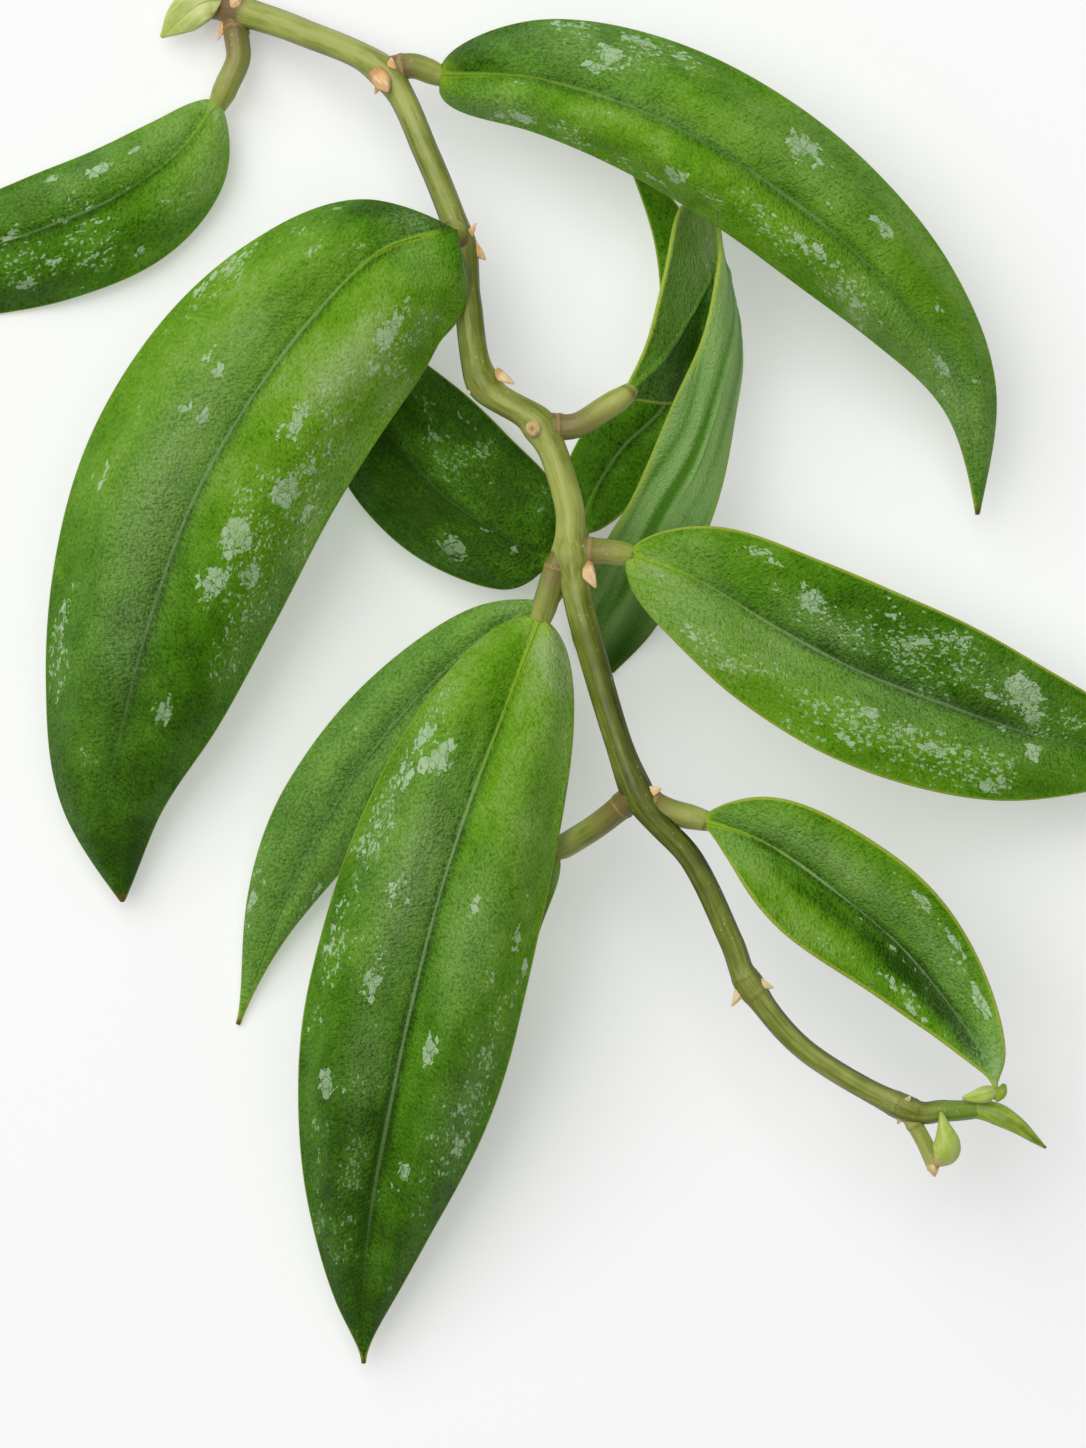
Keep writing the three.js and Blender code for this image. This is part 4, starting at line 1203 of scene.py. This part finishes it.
# %% Scales
SCALES = [
    ((-41.8, 106.3, 5), (-43.6, 102.6, 5), 0.7, 1.6, 0.5, 0.0),
    ((-40.2, 106.6, 4.8), (-38.4, 103.6, 4.5), 0.7, 1.6, 0.5, 0.1),
    ((-40.8, 107.4, 5), (-40.3, 109.2, 7.6), 1.35, 2.6, 0.85, 0.2),
    ((-17.4, 96.2, 15.4), (-15.7, 93, 17.7), 1.5, 2.6, 0.85, 0.25),
    ((-15.4, 95.6, 15), (-15.3, 98.7, 16.2), 1.1, 1.8, 0.45, 0.2),
    ((-16.9, 95.4, 14), (-17.9, 93, 14.5), 0.7, 1.6, 0.5, 0.1),
    ((-3.4, 69.1, 18), (-1.7, 72, 18.8), 0.75, 1.5, 0.5, 0.1),
    ((-3, 68.8, 17.5), (-0.2, 66.2, 18.3), 1.0, 2.2, 0.5, 0.15),
    ((-0.7, 47, 20.6), (-3, 44.7, 21), 0.95, 1.8, 0.45, 0.2),
    ((1.4, 48, 21.6), (4.4, 46.2, 22.5), 0.85, 1.8, 0.45, 0.4),
    ((15.2, 17.8, 26.4), (17.3, 13.7, 27.2), 1.35, 2, 0.45, 0.4),
    ((25, -18.8, 31.3), (27.6, -18, 32.4), 1.05, 1.8, 0.45, 0.45),
    ((24.1, -20, 31), (24.5, -23.4, 31.5), 1.0, 1.6, 0.45, 0.4),
    ((40.6, -48.9, 30.5), (38.7, -52.4, 31), 0.95, 1.6, 0.5, 0.5),
    ((42, -48.4, 30.5), (45.3, -49.4, 31.4), 0.95, 1.6, 0.5, 0.55),
    ((65.9, -68.2, 28.6), (66.9, -66.5, 30.4), 0.7, 1.6, 0.5, 0.9),
    ((65.8, -69, 28.5), (65, -71, 28.8), 0.75, 1.6, 0.5, 0.9),
    ((70.4, -76.8, 27.7), (70.9, -79.4, 27.8), 0.95, 2.4, 0.7, 0.8),
]
SCALE_TIP = 0.12
SCALE_CURL = 0.5
SCALE_STEPS = 40
SCALE_SIDES = 28
FOLD_DEPTH = 0.05
FOLD_COUNT = 5
FOLD_TWIST = 3
SCALE_PATTERN = 1800.0
SCALE_PATTERN_STEP = 20


def scale_mesh(name, root, tip, radius, bluntness, flatness, hue, offset):
    """An ellipse carried from root to tip, radius * (1 - s^bluntness) wide at the part s of the way
    and flatness times as thick. The path bows up by 4 curl s (1 - s), and small folds run along."""
    place = np.linspace(0, 1, SCALE_STEPS + 1)
    path = smooth_path([root, tip], place)
    path[:, 2] += SCALE_CURL * 4 * place * (1 - place)
    wide = (radius * (1 - place**bluntness) + SCALE_TIP)[:, None]
    turn = np.linspace(0, 2 * np.pi, SCALE_SIDES, endpoint=False)
    ellipse = flatness / np.sqrt((flatness * np.cos(turn)) ** 2 + np.sin(turn) ** 2)
    folds = 1 + FOLD_DEPTH * np.cos(FOLD_COUNT * turn + FOLD_TWIST * place[:, None] + offset)
    return tube_mesh(name, path, wide * ellipse * folds, (hue, place[:, None], 0.0), offset)


for number, scale in enumerate(SCALES):
    name = f"scale_{number + 1}"
    mesh = scale_mesh(name, *scale, SCALE_PATTERN + SCALE_PATTERN_STEP * number)
    add_piece(name, mesh, papery_scale, "stem", "stem")
print("scales:", len(SCALES))

# %% The round scar
SCAR_AXIS = ((8.2, 39.2, 21.5), (7.2, 38.9, 24.8))
SCAR_PROFILE = [
    (0, 1.2), (0.7, 1.35), (0.87, 1.25), (0.97, 0.95), (1, 0.65), (0.97, 0.4), (0.95, 0.15),
]
PROFILE_STEPS = 48
SCAR_HUE = 0.8
SCAR_PALENESS = 0.6
RIM_DARK = 0.25
HOLLOW_DARK = 0.5
HOLLOW_START = 0.78
HOLLOW_LENGTH = 0.15
SCAR_PATTERN = (2300.0, 0, 0)

root, tip = (np.array(end) for end in SCAR_AXIS)
turn = np.linspace(0, 2 * np.pi, STALK_SIDES, endpoint=False)
height, radius = smooth_path(SCAR_PROFILE, np.linspace(0, 1, PROFILE_STEPS + 1)).T
axis = unit(tip - root)
side = unit(np.cross(SIDEWAYS, axis))
round_axis = np.cos(turn)[:, None] * side + np.sin(turn)[:, None] * np.cross(axis, side)
rings = root + height[:, None, None] * (tip - root) + radius[:, None, None] * round_axis
profile_along = np.arange(PROFILE_STEPS + 1)[:, None] / PROFILE_STEPS
sunk = RIM_DARK + np.clip((profile_along - HOLLOW_START) / HOLLOW_LENGTH, 0, 1) * HOLLOW_DARK
flat_place = radius[:, None, None] * np.stack([np.cos(turn), np.sin(turn), 0 * turn], axis=-1)
marks = np.broadcast_arrays(SCAR_HUE, SCAR_PALENESS, sunk + 0 * turn)
stored = {"stem_mm": flat_place + SCAR_PATTERN, "stem_marks": np.stack(marks, axis=-1)}
add_piece("round_scar", skin("round_scar", rings, stored), papery_scale, "stem", "stem")
print("scar height in mm:", round(float(np.linalg.norm(tip - root)), 1))

# %% [markdown]
# ## The growing tip
# At the growing end the vine runs on into a folded spear, with a bract and a bead above it and a
# plump bud on the side shoot. A folded leaf is nearly round, so a tube with a groove along its upper
# side is enough, and a flat leaf would be the wrong shape. The small leaf at the cut end has opened,
# so it is a blade like the large ones. All of them share a soft yellow-green finish.
# Each folded leaf lists its path, its radii along it, the depth of its groove, its creases, its
# tone, how tan its foot is and how brown its point.

# %% Young finish
YOUNG_GREENS = [colour(code) for code in ("55700e", "a6bf38", "d0d78c")]
YOUNG_TAN = colour("c9a46a")


def young_finish():
    """Soft yellow green with faint lengthwise veins, a tan foot and a brown point."""
    material, shader, wire = new_finish("young_leaf")
    millimetres = attribute(wire, "leaf_mm")
    u, _, _ = parts_of(attribute(wire, "leaf_place"))
    tan, brown, tone = parts_of(attribute(wire, "leaf_marks"))
    veins = noise(stretched(millimetres, 0.12, 1.0, 1.0), 1.6, 2.0)
    clouds = noise(millimetres, 0.7, 3.0)
    tone = tone + (veins - 0.5) * 0.6 + (clouds - 0.5) * 0.4
    hue = toned(tone, YOUNG_GREENS, TONE_STEP)
    hue = blend(tan * ramp(u + (clouds - 0.5) * 0.15, 0.2, 0.08), hue, YOUNG_TAN)
    hue = blend(ramp(u, 0.93, 0.99) * brown, hue, TIP_BROWN)
    connect(shader, Base_Color=hue, Roughness=0.36 + clouds * 0.12, Normal=bump(veins, 0.14))
    return material


young_leaf = young_finish()
print("nodes in the young finish:", len(young_leaf.node_tree.nodes))

# %% Young leaves
YOUNG_LEAVES = {
    "tip_spear": (
        "tip_leaf",
        [
            (76.5, -68.6, 28), (78.8, -68.9, 28.1), (81.2, -69.7, 28.4), (84.1, -71.4, 28.4),
            (86.6, -73.4, 27.8), (88.5, -74.9, 27.2),
        ],
        [1.45, 1.6, 1.75, 1.35, 0.75, 0.2], 0.1, 2, 0.35, 0.0, 1.0,
    ),
    "tip_bract": (
        "tip_bud",
        [
            (75.2, -66.9, 29.2), (76.8, -66.7, 29.8), (78.8, -66.2, 30.5), (80.6, -65.5, 31),
        ],
        [0.3, 0.9, 1.35, 0.7], 0.1, 2, 0.75, 0.3, 0.0,
    ),
    "tip_bead": (
        "tip_bud",
        [
            (80.5, -67.1, 30.3), (81.2, -65.9, 31.1), (81.7, -64.6, 31.4),
        ],
        [0.5, 0.95, 0.35], 0.0, 3, 0.4, 0.0, 0.0,
    ),
    "side_bud_leaf": (
        "side_bud",
        [
            (71.2, -77.2, 28.4), (72.4, -75.6, 29.3), (72.7, -73.8, 30), (72.2, -71.2, 30.6),
            (71.7, -69, 31),
        ],
        [0.9, 2.1, 2.05, 1.05, 0.25], 0.03, 4, 0.65, 1.0, 0.3,
    ),
}
CUT_END_LEAF = {
    "rib": [(-43.2, 109, 6.2), (-46, 108.4, 6.6), (-49.5, 106, 5.5), (-52.7, 103.3, 3.6)],
    "left": (2.8, 0.45, 0.6, 1.2, 0.3, 0.4),
    "right": (2.8, 0.45, 0.6, 1.2, 0.3, 0.4),
}
CUT_END_TONES = {"tones": ((0.95, 0.75), (0.9, 0.7))}
YOUNG_STEPS = 120
YOUNG_SIDES = 64
YOUNG_ROWS = 60
YOUNG_COLUMNS = 40
GROOVE_WIDTH = 0.5
GROOVE_SHADE = 2
GROOVE_SHADE_WIDTH = 0.3
CREASE_DEPTH = 0.03
CREASE_TWIST = 0.3
YOUNG_PATTERN = 3000.0
YOUNG_PATTERN_STEP = 40


def folded_mesh(name, points, radii, groove, creases, tone, tan, brown, offset):
    """A folded leaf: a tube whose radius follows the listed ones along the path, times
    1 - groove * exp(-(turn from the top / groove width)^2), with shallow creases round it."""
    place = np.linspace(0, 1, YOUNG_STEPS + 1)
    path = smooth_path(points, place)
    turn, along = tube_grids(path, YOUNG_SIDES)
    radius = smooth_path([[radius] for radius in radii], place)
    from_top = turn - np.pi / 2
    folds = CREASE_DEPTH * np.cos(creases * turn + along * CREASE_TWIST)
    shape = 1 - groove * hump(from_top, GROOVE_WIDTH) + folds
    rings = tube_rings(path, radius * shape, turn)
    shaded = tone - GROOVE_SHADE * groove * hump(from_top, GROOVE_SHADE_WIDTH)
    flat_place = np.stack([along + offset, radius * np.cos(turn), radius * np.sin(turn)], axis=-1)
    one = np.ones_like(turn)
    stored = {
        "leaf_mm": flat_place,
        "leaf_place": np.stack([place[:, None] * one, one, one], axis=-1),
        "leaf_marks": np.stack([tan * one, brown * one, shaded], axis=-1),
    }
    return skin(name, rings, stored)


for number, (name, (node, *shape)) in enumerate(YOUNG_LEAVES.items()):
    mesh = folded_mesh(name, *shape, YOUNG_PATTERN + YOUNG_PATTERN_STEP * number)
    add_piece(name, mesh, young_leaf, "young_leaf", node)
mesh, length = leaf_mesh(
    "cut_end_leaf",
    lambda u, v: flat_leaf(CUT_END_LEAF, u, v),
    YOUNG_ROWS,
    YOUNG_COLUMNS,
    CUT_END_TONES,
    len(LEAVES) + 1,
)
add_piece("cut_end_blade", mesh, young_leaf, "young_leaf", "cut_end_leaf")
print("folded leaves:", len(YOUNG_LEAVES), "cut end leaf length in mm:", round(length, 1))
